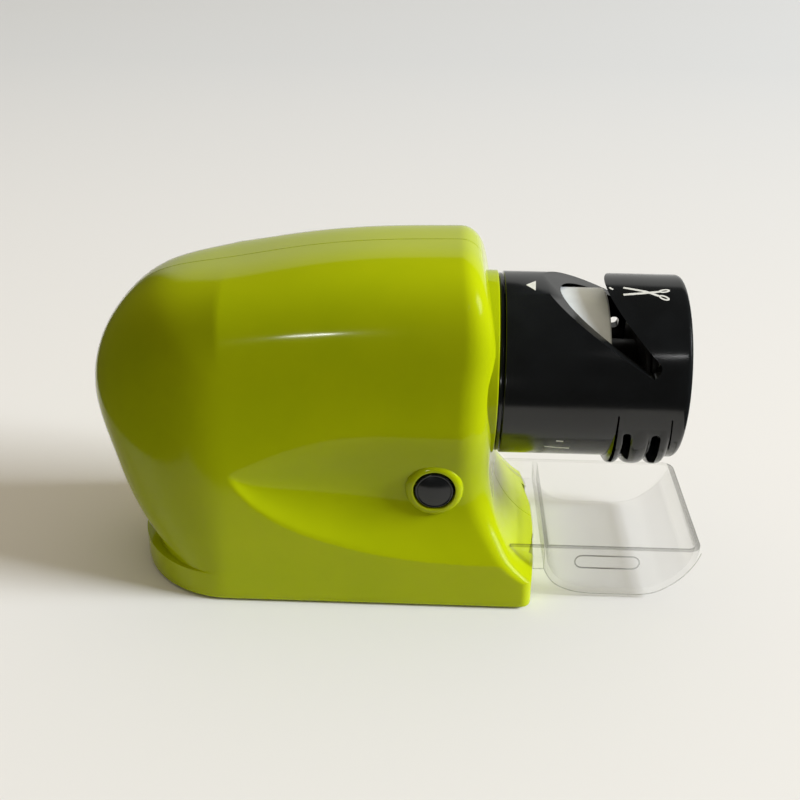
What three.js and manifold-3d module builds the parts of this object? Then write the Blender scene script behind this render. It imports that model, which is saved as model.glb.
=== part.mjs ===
// A cordless knife and scissors sharpener, in millimetres. +X runs to the head, +Z is up, and the power
// button faces -Y. The origin lies on the ground under the middle of the whole length.
import * as THREE from 'three';
import { mergeVertices } from 'three/addons/utils/BufferGeometryUtils.js';
import Module from 'manifold-3d';

const wasm = await Module();
wasm.setup();

// Clearances
const seatGap = 0.3; // between pieces that rest on each other
const turnGap = 0.4; // around what turns or slides
const cutRun = 6; // how far a cutting solid runs past the face that it cuts

// Housing
const faceX = 24.6; // front wall behind the head
const footX = 36.55; // front of the foot at its sides
const footBulge = 1.95; // how much further it reaches in the middle
const baseHalf = 31.5; // half width on the ground
const shoulderHalf = 28; // half width where the arch of the crown starts
const shoulderRise = 4.3; // how far above the head's axis it starts
const archPower = 0.585; // below 1 the arch is squarer than an ellipse
const crownRoom = 34.6; // from the head's axis up to the crown
const headRoom = 21.7; // and down to the battery holder
const rearRoom = 22.4; // behind the battery holder
const coreLength = 38.9; // how long the round rear end is
const plinthInset = 11; // how far in the small plinth under the overhang starts
const plinthZ = 8.2;
const wall = 2.2;
const floorThick = 2;
const baseLift = 0.5; // the rubber feet hold the housing this far off the ground
const edgeRadius = 8.5; // rounding between the flanks and the front wall
const crownRadius = 4.6; // and between the crown and the front wall
const footRadius = 2.5;
const leanBack = 4.7; // how far the top of the front wall leans back
const leanPower = 1.5;
const leanHeight = 23.8; // and the height over which it leans
const flareDepth = 22.5; // the cove that widens the front wall into the foot
const flareHeight = 30;
const flareTopZ = 38;
const flareSideDrop = 3.5;

// Centre line of the rear and the crown, as shares of the body's length and height
const profileShares = [
  [0.132, 0.1], [0.07, 0.22], [0.03, 0.363], [0, 0.521], [0.018, 0.668], [0.078, 0.792],
  [0.18, 0.887], [0.339, 0.928], [0.517, 0.966], [0.718, 0.992], [0.952, 1],
];
const riseShares = [0, 0.06, 0.13, 0.21, 0.29, 0.37, 0.46, 0.56, 0.67, 0.78, 0.89, 1];

// Pointed recess in each flank, around the button
const recess = {
  tipInset: 2,
  tipZ: 38,
  depth: 4.4,
  riseRun: 40,
  rise: 13.5,
  drop: 24.5,
  deepRun: 42,
  valleyShare: 0.42,
  anchors: [24, 31, 50],
  blendRun: 12,
};

// Head: collar on the front wall, seat ring, cap and stones, all about one axis
const collar = { radius: 24.8, frontX: 25.5, bore: 22.9 };
const cap = {
  radius: 24.6,
  rearX: 27,
  frontX: 74.1,
  bore: 21.6,
  frontWall: 1.9,
  edge: 1.5,
  bossRadius: 6.6,
  ventX: 60.4,
};
const seatRing = { flange: 24.1, bore: 18.6, nose: 4.4, tailX: 19 };
const channel = {
  floorX: 36.8, // where the slanted floor leaves the top of the cap
  lipX: 53, // where the opposite side does
  floorSlope: 0.596,
  lipSlope: 0.951,
  floorTwist: 0.067,
  lipTwist: 0.102,
  endX: 63.9,
  endLean: 0.4,
};
const slits = [
  { x: 59.75, width: 2.2, fromDeg: 112, toDeg: 142 },
  { x: 67.05, width: 2.35, fromDeg: 113, toDeg: 147 },
  { x: 60.1, width: 2.6, fromDeg: -84, toDeg: -76 },
];
const lip = {
  height: 2.1,
  radius: 22,
  towardDeg: 160,
  round: 1.2,
  spans: [[55.3, 59.2], [59.7, 66.1], [66.3, 71]],
};
const vent = { width: 3.3, fromDeg: -104, toDeg: -76 };
const detent = { count: 12, depth: 0.8, width: 1.6, bump: 0.6 };
const stone = { radius: 20.6, rearX: 33.2, frontX: 54.2, round: 0.8 };
const knifeWheel = { radius: 19.5, rearX: 64.6, frontX: 68.4 };
const spacer = { radius: 7, flange: 19.2, flangeThick: 1.3 };
const hub = { radius: 4, flange: 9, flangeThick: 1.2, rearX: 29.5, frontX: 69.1, pin: 2 };
const shaft = { radius: 1.6, reach: 34.5 };
const bush = { radius: 4.2, length: 1.9, clearance: 0.06 };

// Drive
const motor = {
  radius: 13.75,
  rearX: -16,
  frontX: 16.8,
  round: 1.2,
  boss: 4,
  bossLength: 2.2,
  endCap: 3,
  terminal: 2.6,
  terminalWidth: 2.2,
  terminalThick: 0.5,
  terminalY: 8,
};
const bracket = { thick: 1.6, radius: 20.5, screwRadius: 1.2, screwRing: 8, screwHead: 2.3, headThick: 1.3 };
const bulkhead = { thick: 2.2, lift: 3.5, rearX: -9 };

// Batteries
const cell = { radius: 7.25, length: 50.5, nubRadius: 2.7, nubLength: 1, pitchGap: 0.5 };
const holder = {
  wall: 1.2,
  frontX: -4.2,
  lowZ: 5.8,
  clearance: 0.5,
  springRoom: 3.2,
  plateRoom: 1.2,
  railHalf: 21,
  railInset: 11,
  railHeight: 2,
};
const contact = { thick: 0.4, wire: 0.45, turns: 2.5, smallRadius: 1.8, bigRadius: 4.2 };
const door = {
  thick: 1.5,
  lift: 0.2,
  margin: 1.5,
  hookWidth: 9,
  hookReach: 2.5,
  hookThick: 1.4,
  hookNeck: 2,
  latchWidth: 12,
  latchThick: 1.2,
  latchHeight: 3.2,
  gripWidth: 0.8,
  gripDepth: 0.5,
  gripCount: 5,
  gripPitch: 2,
};

// Switch and button
const button = {
  x: 10,
  z: 33.8,
  boss: 7.65,
  bossRound: 1.3,
  faceY: -27.3,
  bossDepth: 6.2,
  hole: 5.5,
  radius: 5.05,
  dome: 0.5,
  flange: 6.6,
  flangeThick: 1.1,
  stem: 2,
  stemLength: 1.6,
  travel: 2,
};
const plunger = { radius: 1.5, length: 6 };
const switchPlate = { thick: 1.4, halfLength: 11, halfHeight: 4.9, holeGap: 0.5, postRadius: 1.8 };
const switchBody = { width: 12, height: 8, depth: 7, wellDepth: 4.4, terminal: 3 };
const buttonSpring = { wire: 0.5, radius: 4.3, turns: 3 };

// Fasteners, feet and wires
const screw = { radius: 1.5, length: 15, head: 2.9, headThick: 2, socket: 1.1, socketDepth: 1 };
const boss = { radius: 4.3, hole: 1.85, well: 3.4, seatY: 5.5, tipRoom: 1.2 };
// Housing screws: how far in from the rear or the face, and how far below the crown or above the ground
const screwInsets = [['rear', 17.9, 'ground', 26], ['rear', 26.9, 'crown', 27.8], ['rear', 59.9, 'crown', 14.8],
  ['face', 11.4, 'crown', 8.2], ['face', 5.1, 'ground', 12]];
const foot = { radius: 4.6, height: 1.7, recess: 1.3, gap: 0.1, rearInset: 5, frontX: 24, sideY: 23.6 };
const wire = { radius: 0.8, sides: 6 };

// Tray
const tray = {
  frontX: 82.5,
  half: 24.4,
  rimZ: 15.7,
  wall: 1.3,
  basinX: 40.1,
  tailZ: 8.5,
  lowZ: 0.9,
  tailReach: 30.5,
  cornerRadius: 3.6,
  tongueY: 14,
  tongueHalf: 4.5,
  tongueThick: 1.5,
  tongueReach: 6,
};

// Outline of the tray seen from the side, as shares of its basin's length and depth
const hullShares = [[0, 0.44], [0.035, 0.64], [0.09, 0.82], [0.18, 0.94], [0.32, 1], [0.62, 1], [0.78, 0.86],
  [0.89, 0.6], [0.965, 0.28], [1, 0]];

// Counts of faces
const fine = 44;
const medium = 24;
const coarse = 12;
const outerSteps = { crown: 8, corner: 6, length: 14, edge: 3, face: 3 };
const innerSteps = { crown: 4, corner: 3, length: 7, edge: 1, face: 1 };

const colours = {
  greenGloss: [0x8f9c0a, 0.22, 0],
  blackGloss: [0x101112, 0.18, 0],
  blackSatin: [0x1b1c1d, 0.5, 0],
  stoneGrey: [0xc9c8c2, 0.55, 0],
  clear: [0xe8ebe8, 0.05, 0],
  steel: [0xb4b6b8, 0.3, 1],
  brass: [0xb89b52, 0.3, 1],
  whitePlastic: [0xd9d9d2, 0.5, 0],
  rubber: [0x26272a, 0.9, 0],
  cellWrap: [0x7d8a92, 0.35, 0],
  redWire: [0xa01c1c, 0.5, 0],
  blackWire: [0x17181a, 0.5, 0],
};
const materials = {};
for (const [name, [color, roughness, metalness]] of Object.entries(colours)) {
  materials[name] = new THREE.MeshStandardMaterial({ color, roughness, metalness });
}

const sharpener = new THREE.Group();

// Places that follow from the sizes: the housing is built round the batteries and the head

const cellPitch = 2 * cell.radius + cell.pitchGap;
const holderInside = cellPitch + 2 * cell.radius + 2 * holder.clearance;
const holderHalf = holderInside / 2 + holder.wall;
const holderTop = holder.lowZ + holderInside + holder.wall;
const cellFrontX = holder.frontX - holder.wall - holder.plateRoom;
const cellRearX = cellFrontX - cell.length;
const holderRearX = cellRearX - holder.springRoom - holder.wall;
const headZ = holderTop + headRoom;
const bodyHeight = headZ + crownRoom;
const shoulderZ = headZ + shoulderRise;
const leanStartZ = bodyHeight - leanHeight;
const rearX = holderRearX - rearRoom; // rearmost point of the body
const coreX = rearX + coreLength; // where the round rear end starts
const plinthX = rearX + plinthInset;
const tipX = coreX + recess.tipInset;
const screwPlaces = screwInsets.map(([side, x, level, z]) => (
  [side === 'rear' ? rearX + x : faceX - x, level === 'crown' ? bodyHeight - z : z]));

// Solids and meshes

function toSolid(geometry) {
  const bare = geometry.clone();
  bare.deleteAttribute('normal');
  bare.deleteAttribute('uv');
  const merged = mergeVertices(bare);
  const corners = merged.index.array;
  const kept = [];
  for (let i = 0; i < corners.length; i += 3) {
    const [a, b, c] = [corners[i], corners[i + 1], corners[i + 2]];
    if (a !== b && b !== c && c !== a) kept.push(a, b, c);
  }
  if (signedVolume(merged.attributes.position.array, kept) < 0) kept.reverse();
  const mesh = new wasm.Mesh({
    numProp: 3,
    vertProperties: new Float32Array(merged.attributes.position.array),
    triVerts: new Uint32Array(kept),
  });
  return new wasm.Manifold(mesh);
}

function signedVolume(points, corners) {
  const p = new THREE.Vector3();
  const q = new THREE.Vector3();
  const r = new THREE.Vector3();
  let sum = 0;
  for (let i = 0; i < corners.length; i += 3) {
    p.fromArray(points, corners[i] * 3);
    q.fromArray(points, corners[i + 1] * 3);
    r.fromArray(points, corners[i + 2] * 3);
    sum += p.dot(q.cross(r));
  }
  return sum;
}

function toGeometry(solid) {
  const mesh = solid.getMesh();
  const points = new Float32Array(mesh.numVert * 3);
  for (let i = 0; i < mesh.numVert; i++) {
    for (let k = 0; k < 3; k++) points[i * 3 + k] = mesh.vertProperties[i * mesh.numProp + k];
  }
  const geometry = new THREE.BufferGeometry();
  geometry.setAttribute('position', new THREE.BufferAttribute(points, 3));
  geometry.setIndex(new THREE.BufferAttribute(new Uint32Array(mesh.triVerts), 1));
  geometry.computeVertexNormals();
  return geometry;
}

function addPart(name, solid, material) {
  const mesh = new THREE.Mesh(toGeometry(solid), materials[material]);
  mesh.name = name;
  sharpener.add(mesh);
}

function box(low, high) {
  const size = [0, 1, 2].map((k) => high[k] - low[k]);
  const geometry = new THREE.BoxGeometry(...size);
  geometry.translate(...[0, 1, 2].map((k) => (low[k] + high[k]) / 2));
  return toSolid(geometry);
}

// Turned solids: each point is [place along the axis, radius], from one end round to the other
function turned(points, axis, centre, sides) {
  const outline = points.map(([along, radius]) => new THREE.Vector2(radius, along));
  const geometry = new THREE.LatheGeometry(outline, sides);
  if (axis === 'x') geometry.rotateZ(-Math.PI / 2);
  if (axis === 'z') geometry.rotateX(Math.PI / 2);
  geometry.translate(...centre);
  return toSolid(geometry);
}

function rod(from, to, radius, axis, centre, sides) {
  return turned([[from, 0], [from, radius], [to, radius], [to, 0]], axis, centre, sides);
}

function ring(from, to, inner, outer, axis, centre, sides) {
  const points = [[from, inner], [from, outer], [to, outer], [to, inner], [from, inner]];
  return turned(points, axis, centre, sides);
}

function onHead(from, to, radius, sides = medium) {
  return rod(from, to, radius, 'x', [0, 0, headZ], sides);
}

function headRing(from, to, inner, outer, sides = medium) {
  return ring(from, to, inner, outer, 'x', [0, 0, headZ], sides);
}

// A flat outline in X and Z, thickened along Y
function plateXZ(points, fromY, toY) {
  const outline = new THREE.Shape(points.map(([x, z]) => new THREE.Vector2(x, z)));
  const geometry = new THREE.ExtrudeGeometry(outline, { depth: toY - fromY, bevelEnabled: false });
  geometry.rotateX(Math.PI / 2);
  geometry.translate(0, toY, 0);
  return toSolid(geometry);
}

function sweep(curve, radius, sides, steps) {
  const outline = new THREE.Shape();
  for (let i = 0; i < sides; i++) {
    const turn = (i / sides) * 2 * Math.PI;
    const [u, v] = [radius * Math.cos(turn), radius * Math.sin(turn)];
    if (i === 0) outline.moveTo(u, v);
    else outline.lineTo(u, v);
  }
  const geometry = new THREE.ExtrudeGeometry(outline, { extrudePath: curve, steps, bevelEnabled: false });
  return toSolid(geometry);
}

// A coil along an axis; its radius runs evenly from one end to the other
class Coil extends THREE.Curve {
  constructor(start, axis, length, fromRadius, toRadius, turns) {
    super();
    Object.assign(this, { start, axis, length, fromRadius, toRadius, turns });
  }

  getPoint(t, target = new THREE.Vector3()) {
    const turn = t * this.turns * 2 * Math.PI;
    const radius = THREE.MathUtils.lerp(this.fromRadius, this.toRadius, t);
    const across = [radius * Math.cos(turn), radius * Math.sin(turn)];
    const along = t * this.length;
    if (this.axis === 'x') target.set(along, across[0], across[1]);
    else target.set(across[0], along, across[1]);
    return target.add(this.start);
  }
}

// Housing form: an arch that shrinks round the rear end, over flanks that run down to the foot

const clamp = THREE.MathUtils.clamp;
const bodyLength = faceX - rearX;
const profile = new THREE.SplineCurve(
  profileShares.map(([a, b]) => new THREE.Vector2(rearX + a * bodyLength, b * bodyHeight)),
);
const profilePoints = profile.getPoints(fine * profileShares.length);

function between(keys, values, key) {
  for (let i = 1; i < keys.length; i++) {
    const [a, b] = [keys[i - 1], keys[i]];
    if ((key - a) * (key - b) <= 0 && a !== b) {
      return values[i - 1] + ((values[i] - values[i - 1]) * (key - a)) / (b - a);
    }
  }
  return Math.abs(key - keys[0]) < Math.abs(key - keys[keys.length - 1]) ? values[0] : values[values.length - 1];
}

const lowerPoints = profilePoints.filter((p) => p.y <= shoulderZ + seatGap);
const upperPoints = profilePoints.filter((p) => p.y >= shoulderZ - seatGap);
const cornerPolar = upperPoints.map((p) => [Math.atan2(p.y - shoulderZ, p.x - coreX),
  Math.hypot(p.y - shoulderZ, p.x - coreX)]);

function rearAt(z) {
  if (z <= plinthZ) return plinthX;
  return between(lowerPoints.map((p) => p.y), lowerPoints.map((p) => p.x), z);
}

function crownAt(x) {
  return between(upperPoints.map((p) => p.x), upperPoints.map((p) => p.y), x);
}

function cornerReach(angle) {
  return between(cornerPolar.map((p) => (p[0] < 0 ? p[0] + 2 * Math.PI : p[0])), cornerPolar.map((p) => p[1]),
    angle);
}

function halfWidthAt(z) {
  const t = clamp(z / shoulderZ, 0, 1);
  return baseHalf - (baseHalf - shoulderHalf) * t * t * (3 - 2 * t);
}

function frontAt(z, across) {
  const lean = clamp((z - leanStartZ) / (bodyHeight - leanStartZ), 0, 1) ** leanPower * leanBack;
  const t = clamp((flareTopZ - flareSideDrop * across ** 2 - z) / flareHeight, 0, 1);
  const flared = faceX + flareDepth * (1 - Math.sqrt(1 - t ** 2)) - lean;
  return Math.min(flared, footX + footBulge * (1 - across ** 2));
}

function roundingAt(z) {
  const up = clamp((z - shoulderZ) / (bodyHeight - shoulderZ), 0, 1);
  if (up > 0) return THREE.MathUtils.lerp(edgeRadius, crownRadius, up);
  return THREE.MathUtils.lerp(footRadius, edgeRadius, clamp((z - plinthZ) / flareHeight, 0, 1));
}

// The lower edge, the valley and the upper edge of the recess at a place along the body
function recessEdges(x) {
  const quarter = Math.PI / 2;
  const rising = clamp((x - tipX) / recess.riseRun, 0, 1) ** 0.9;
  const falling = clamp((x - tipX) / (faceX - tipX), 0, 1) ** 0.6;
  const upper = recess.tipZ + recess.rise * Math.sin(quarter * rising);
  const lower = recess.tipZ - recess.drop * Math.sin(quarter * falling);
  return [lower, THREE.MathUtils.lerp(lower, upper, recess.valleyShare), upper];
}

// Moves a level so that some rows of the grid run along those edges
function bentLevel(z, x) {
  const blend = clamp((x - coreX) / recess.blendRun, 0, 1);
  const edges = recessEdges(x).map((edge, i) => THREE.MathUtils.lerp(recess.anchors[i], edge, blend));
  const from = [plinthZ, ...recess.anchors, shoulderZ];
  return z <= plinthZ ? z : between(from, [plinthZ, ...edges, shoulderZ], z);
}

function recessAt(x, z) {
  const along = x - tipX;
  if (along <= 0) return 0;
  const quarter = Math.PI / 2;
  const [lower, , upper] = recessEdges(x);
  const t = (z - lower) / (upper - lower);
  if (t <= 0 || t >= 1) return 0;
  const deep = recess.depth * Math.sin(quarter * clamp(along / recess.deepRun, 0, 1) ** 0.8);
  if (t < recess.valleyShare) return deep * Math.sin((quarter * t) / recess.valleyShare);
  return (deep * (1 + Math.cos((Math.PI * (t - recess.valleyShare)) / (1 - recess.valleyShare)))) / 2;
}

// The whole form as one closed solid, its walls moved in by inset and its underside at lowZ
function housingForm(inset, lowZ, steps) {
  const triangles = [];
  const levels = [lowZ, ...riseShares.map((share) => plinthZ + share * (shoulderZ - plinthZ))];
  const turn = (j, count) => (j / count) * (Math.PI / 2);
  const arch = (j, power) => [Math.cos(turn(j, steps.crown)), Math.sin(turn(j, steps.crown))].map((share) => (
    clamp(share, 0, 1) ** power));
  const half = (z) => halfWidthAt(z) - inset;
  const spanHalf = half(shoulderZ);

  const rearRows = levels.map((z) => {
    const row = [];
    for (let j = 0; j <= steps.crown; j++) {
      const [up, out] = arch(j, 1);
      row.push([coreX + (rearAt(z) + inset - coreX) * up, half(z) * out, z]);
    }
    return row;
  });
  for (let c = 1; c <= steps.corner; c++) {
    const angle = Math.PI - turn(c, steps.corner);
    const reach = cornerReach(angle) - inset;
    const row = [];
    for (let j = 0; j <= steps.crown; j++) {
      const [up, out] = arch(j, THREE.MathUtils.lerp(1, archPower, c / steps.corner));
      row.push([coreX + reach * up * Math.cos(angle), spanHalf * out, shoulderZ + reach * up * Math.sin(angle)]);
    }
    rearRows.push(row);
  }

  const startX = (z) => frontAt(z, 1) - inset - roundingAt(z);
  const rows = [];
  const joint = rearRows[rearRows.length - 1];
  for (let i = 0; i <= steps.length; i++) {
    const share = i / steps.length;
    const rise = crownAt(coreX + share * (startX(bodyHeight) - coreX)) - inset - shoulderZ;
    const row = i === 0 ? [...joint] : [];
    for (let j = 0; i > 0 && j <= steps.crown; j++) {
      const [up, out] = arch(j, archPower);
      const z = shoulderZ + rise * up;
      row.push([coreX + share * (startX(z) - coreX), spanHalf * out, z]);
    }
    for (let k = levels.length - 2; k >= 0; k--) {
      const z = bentLevel(levels[k], coreX + share * (faceX - coreX));
      const x = coreX + share * (startX(z) - coreX);
      row.push([x, half(z) - recessAt(x, z), z]);
    }
    rows.push(row);
  }

  const endRise = crownAt(startX(bodyHeight)) - inset - shoulderZ;
  for (let m = 1; m <= steps.edge; m++) {
    const angle = turn(m, steps.edge);
    const row = [];
    for (let j = 0; j <= steps.crown; j++) {
      const [up, out] = arch(j, archPower);
      const radius = roundingAt(shoulderZ + endRise * up);
      const inward = radius * (1 - Math.cos(angle));
      const z = shoulderZ + (endRise - inward) * up;
      row.push([frontAt(z, 1) - inset - radius * (1 - Math.sin(angle)), (spanHalf - inward) * out, z]);
    }
    for (let k = levels.length - 2; k >= 0; k--) {
      const z = bentLevel(levels[k], faceX);
      const inward = roundingAt(z) * (1 - Math.cos(angle));
      const y = half(z) - recessAt(startX(z), z) - inward;
      row.push([frontAt(z, y / half(z)) - inset - roundingAt(z) * (1 - Math.sin(angle)), y, z]);
    }
    rows.push(row);
  }
  const rim = rows[rows.length - 1];
  for (let m = 1; m <= steps.face; m++) {
    const share = 1 - m / steps.face;
    rows.push(rim.map(([, y, z]) => {
      const height = z > shoulderZ ? shoulderZ + (z - shoulderZ) * share : z;
      return [frontAt(height, (y * share) / half(height)) - inset, y * share, height];
    }));
  }

  const near = ([x, y, z]) => [x, -y, z];
  const addSide = (grid, place, flip) => {
    for (let f = 0; f + 1 < grid.length; f++) {
      for (let g = 0; g + 1 < grid[f].length; g++) {
        const quad = [grid[f][g], grid[f][g + 1], grid[f + 1][g + 1], grid[f + 1][g]].map(place);
        if (flip) quad.reverse();
        triangles.push(quad[0], quad[1], quad[2], quad[0], quad[2], quad[3]);
      }
    }
  };
  for (const grid of [rearRows, rows]) {
    addSide(grid, near, false);
    addSide(grid, (p) => p, true);
  }
  const hem = [...rearRows[0], ...rows.map((row) => row[row.length - 1])];
  addSide(hem.map((p) => [near(p), p]), (p) => p, false);

  const geometry = new THREE.BufferGeometry();
  geometry.setAttribute('position', new THREE.Float32BufferAttribute(triangles.flat(), 3));
  return toSolid(geometry);
}

const outerForm = housingForm(0, baseLift, outerSteps);
const floorTop = baseLift + floorThick;
const innerForm = housingForm(wall, floorTop, innerSteps);
const midForm = housingForm(wall / 2, baseLift + floorThick / 2, innerSteps); // bosses and ribs end in it

// More places that follow from the sizes

const innerFaceX = faceX - wall;
const doorRearX = holderRearX - door.margin;
const doorFrontX = holder.frontX + door.margin;
const doorHalf = holderHalf + door.margin;
const doorLowZ = baseLift + door.lift;
const doorTopZ = doorLowZ + door.thick;
const motorFrontX = motor.frontX;
const bracketRearX = motorFrontX + seatGap;
const bracketFrontX = bracketRearX + bracket.thick;
const ringTailX = Math.max(seatRing.tailX, bracketFrontX + seatGap);
const flangeRearX = collar.frontX + seatGap;
const flangeFrontX = cap.rearX - seatGap;
const capWallX = cap.frontX - cap.frontWall;
const buttonBackY = button.faceY + button.bossDepth;
const flangeBackY = buttonBackY + seatGap + button.flangeThick;
const stemEndY = flangeBackY + button.stemLength + button.travel;
const plungerY = stemEndY + seatGap;
const plateY = plungerY + button.travel + seatGap;
const plateBackY = plateY + switchPlate.thick;
const switchY = plateBackY + seatGap;

// Housing shells

function bulkheadAt(fromX) {
  const plate = box([fromX, -baseHalf, holderTop + bulkhead.lift], [fromX + bulkhead.thick, baseHalf, bodyHeight]);
  return plate.intersect(midForm);
}

function wholeHousing() {
  const bore = onHead(innerFaceX - cutRun, collar.frontX + cutRun, collar.bore, fine);
  let housing = outerForm.subtract(innerForm);
  housing = housing.add(bulkheadAt(motorFrontX - bulkhead.thick)).add(bulkheadAt(bulkhead.rearX));
  const motorHole = onHead(bulkhead.rearX - cutRun, motorFrontX + cutRun, motor.radius + turnGap);
  housing = housing.subtract(motorHole);
  housing = housing.add(onHead(innerFaceX, collar.frontX, collar.radius, fine)).subtract(bore);
  const opening = box([doorRearX, -doorHalf, baseLift - cutRun], [doorFrontX, doorHalf, floorTop + seatGap]);
  housing = housing.subtract(opening);
  for (const side of [-1, 1]) {
    const middle = side * tray.tongueY;
    const halfSlot = tray.tongueHalf + turnGap;
    const slotLow = tray.tailZ + tray.wall - tray.tongueThick - turnGap;
    const slotHigh = tray.tailZ + tray.wall + turnGap;
    const slot = box([footX - tray.tongueReach - cutRun, middle - halfSlot, slotLow],
      [footX + cutRun, middle + halfSlot, slotHigh]);
    housing = housing.subtract(slot);
  }
  for (const [x, y] of footPlaces()) {
    const pocket = rod(baseLift - cutRun, baseLift + foot.recess, foot.radius + seatGap, 'z', [x, y, 0], coarse);
    housing = housing.subtract(pocket);
  }
  return housing;
}

function footPlaces() {
  return [[coreX - foot.rearInset, -foot.sideY], [coreX - foot.rearInset, foot.sideY], [foot.frontX, -foot.sideY],
    [foot.frontX, foot.sideY]];
}

function halfSpace(side) {
  const reach = 2 * baseHalf;
  const low = [rearX - cutRun, side < 0 ? -reach : 0, -cutRun];
  const high = [footX + footBulge + cutRun, side < 0 ? 0 : reach, bodyHeight + cutRun];
  return box(low, high);
}

function screwBosses(side) {
  const columns = screwPlaces.map(([x, z]) => rod(-baseHalf, baseHalf, boss.radius, 'y', [x, 0, z], coarse));
  return columns.reduce((all, column) => all.add(column)).intersect(midForm).intersect(halfSpace(side));
}

function nearShell() {
  let shell = wholeHousing().intersect(halfSpace(-1)).add(screwBosses(-1));
  const deep = screw.length - boss.seatY + boss.tipRoom;
  for (const [x, z] of screwPlaces) {
    shell = shell.subtract(rod(-deep, cutRun, boss.hole, 'y', [x, 0, z], coarse));
  }
  const centre = [button.x, 0, button.z];
  const ringPoints = [[buttonBackY, 0], [buttonBackY, button.boss], [button.faceY + button.bossRound, button.boss],
    [button.faceY + button.bossRound / 3, button.boss - button.bossRound / 3],
    [button.faceY, button.boss - button.bossRound], [button.faceY, 0]];
  shell = shell.add(turned(ringPoints, 'y', centre, medium));
  shell = shell.subtract(rod(-2 * baseHalf, 0, button.hole, 'y', centre, medium));
  for (const side of [-1, 1]) {
    const postX = button.x + side * (switchPlate.halfLength - switchPlate.postRadius);
    const post = rod(-baseHalf, plateY - seatGap, switchPlate.postRadius, 'y', [postX, 0, button.z], coarse);
    shell = shell.add(post.intersect(midForm));
  }
  return shell;
}

function farShell() {
  let shell = wholeHousing().intersect(halfSpace(1)).add(screwBosses(1));
  for (const [x, z] of screwPlaces) {
    shell = shell.subtract(rod(-cutRun, 2 * baseHalf, boss.hole, 'y', [x, 0, z], coarse));
    shell = shell.subtract(rod(boss.seatY, 2 * baseHalf, boss.well, 'y', [x, 0, z], coarse));
  }
  return shell;
}

addPart('housing_near', nearShell(), 'greenGloss');
addPart('housing_far', farShell(), 'greenGloss');

screwPlaces.forEach(([x, z], i) => {
  const headY = boss.seatY + seatGap;
  const tipY = headY - screw.length;
  const body = turned([[tipY, 0], [tipY + screw.radius, screw.radius], [headY, screw.radius],
    [headY, screw.head], [headY + screw.headThick / 2, screw.head],
    [headY + screw.headThick, screw.head / 2], [headY + screw.headThick, 0]], 'y', [x, 0, z], coarse);
  const cutY = headY + screw.headThick - screw.socketDepth;
  const arm = [screw.socket * 1.6, screw.socket * 0.3];
  const bars = [arm, [arm[1], arm[0]]].map(([a, b]) => (
    box([x - a, cutY, z - b], [x + a, headY + screw.headThick + cutRun, z + b])));
  addPart(`housing_screw_${i + 1}`, body.subtract(bars[0]).subtract(bars[1]), 'steel');
});

footPlaces().forEach(([x, y], i) => {
  const top = baseLift + foot.recess - foot.gap;
  const points = [[0, 0], [0, foot.radius - foot.recess / 2], [foot.recess / 2, foot.radius],
    [top, foot.radius], [top, 0]];
  addPart(`rubber_foot_${i + 1}`, turned(points, 'z', [x, y, 0], coarse), 'rubber');
});

// Battery door: a plate with two hooks behind the hinge edge and a snap tongue at the other end

function batteryDoor() {
  const fit = turnGap;
  let plate = box([doorRearX + fit, -doorHalf + fit, doorLowZ], [doorFrontX - fit, doorHalf - fit, doorTopZ]);
  for (const side of [-1, 1]) {
    const middle = (side * doorHalf) / 2;
    const [y0, y1] = [middle - door.hookWidth / 2, middle + door.hookWidth / 2];
    const hookZ = floorTop + seatGap;
    const neck = box([doorRearX + fit, y0, doorLowZ], [doorRearX + fit + door.hookNeck, y1, hookZ + door.hookThick]);
    const hook = box([doorRearX - door.hookReach, y0, hookZ], [doorRearX + fit + door.hookNeck, y1,
      hookZ + door.hookThick]);
    plate = plate.add(neck).add(hook);
  }
  const latchX = doorFrontX - fit - door.latchThick;
  const latch = box([latchX, -door.latchWidth / 2, doorLowZ],
    [doorFrontX - fit, door.latchWidth / 2, doorLowZ + door.latchHeight]);
  plate = plate.add(latch);
  for (let i = 0; i < door.gripCount; i++) {
    const x = latchX - (i + 1) * door.gripPitch;
    plate = plate.subtract(box([x - door.gripWidth, -door.latchWidth / 2, doorLowZ - cutRun],
      [x, door.latchWidth / 2, doorLowZ + door.gripDepth]));
  }
  return plate;
}

addPart('battery_door', batteryDoor(), 'greenGloss');

// Battery holder, cells and contacts

function batteryHolder() {
  const outer = box([holderRearX, -holderHalf, holder.lowZ], [holder.frontX, holderHalf, holderTop]);
  const inside = holderHalf - holder.wall;
  const hollow = box([holderRearX + holder.wall, -inside, holder.lowZ - cutRun],
    [holder.frontX - holder.wall, inside, holderTop - holder.wall]);
  let part = outer;
  for (const side of [-1, 1]) {
    const [y0, y1] = side < 0 ? [-holder.railHalf, -inside] : [inside, holder.railHalf];
    part = part.add(box([holderRearX + holder.railInset, y0, floorTop + seatGap],
      [holder.frontX - holder.railInset, y1, holder.lowZ + holder.railHeight]));
  }
  return part.subtract(hollow);
}

function cellPlaces() {
  const lowZ = holder.lowZ + holder.clearance + cell.radius;
  const side = cellPitch / 2;
  return [[-side, lowZ], [side, lowZ], [-side, lowZ + cellPitch], [side, lowZ + cellPitch]];
}

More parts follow.
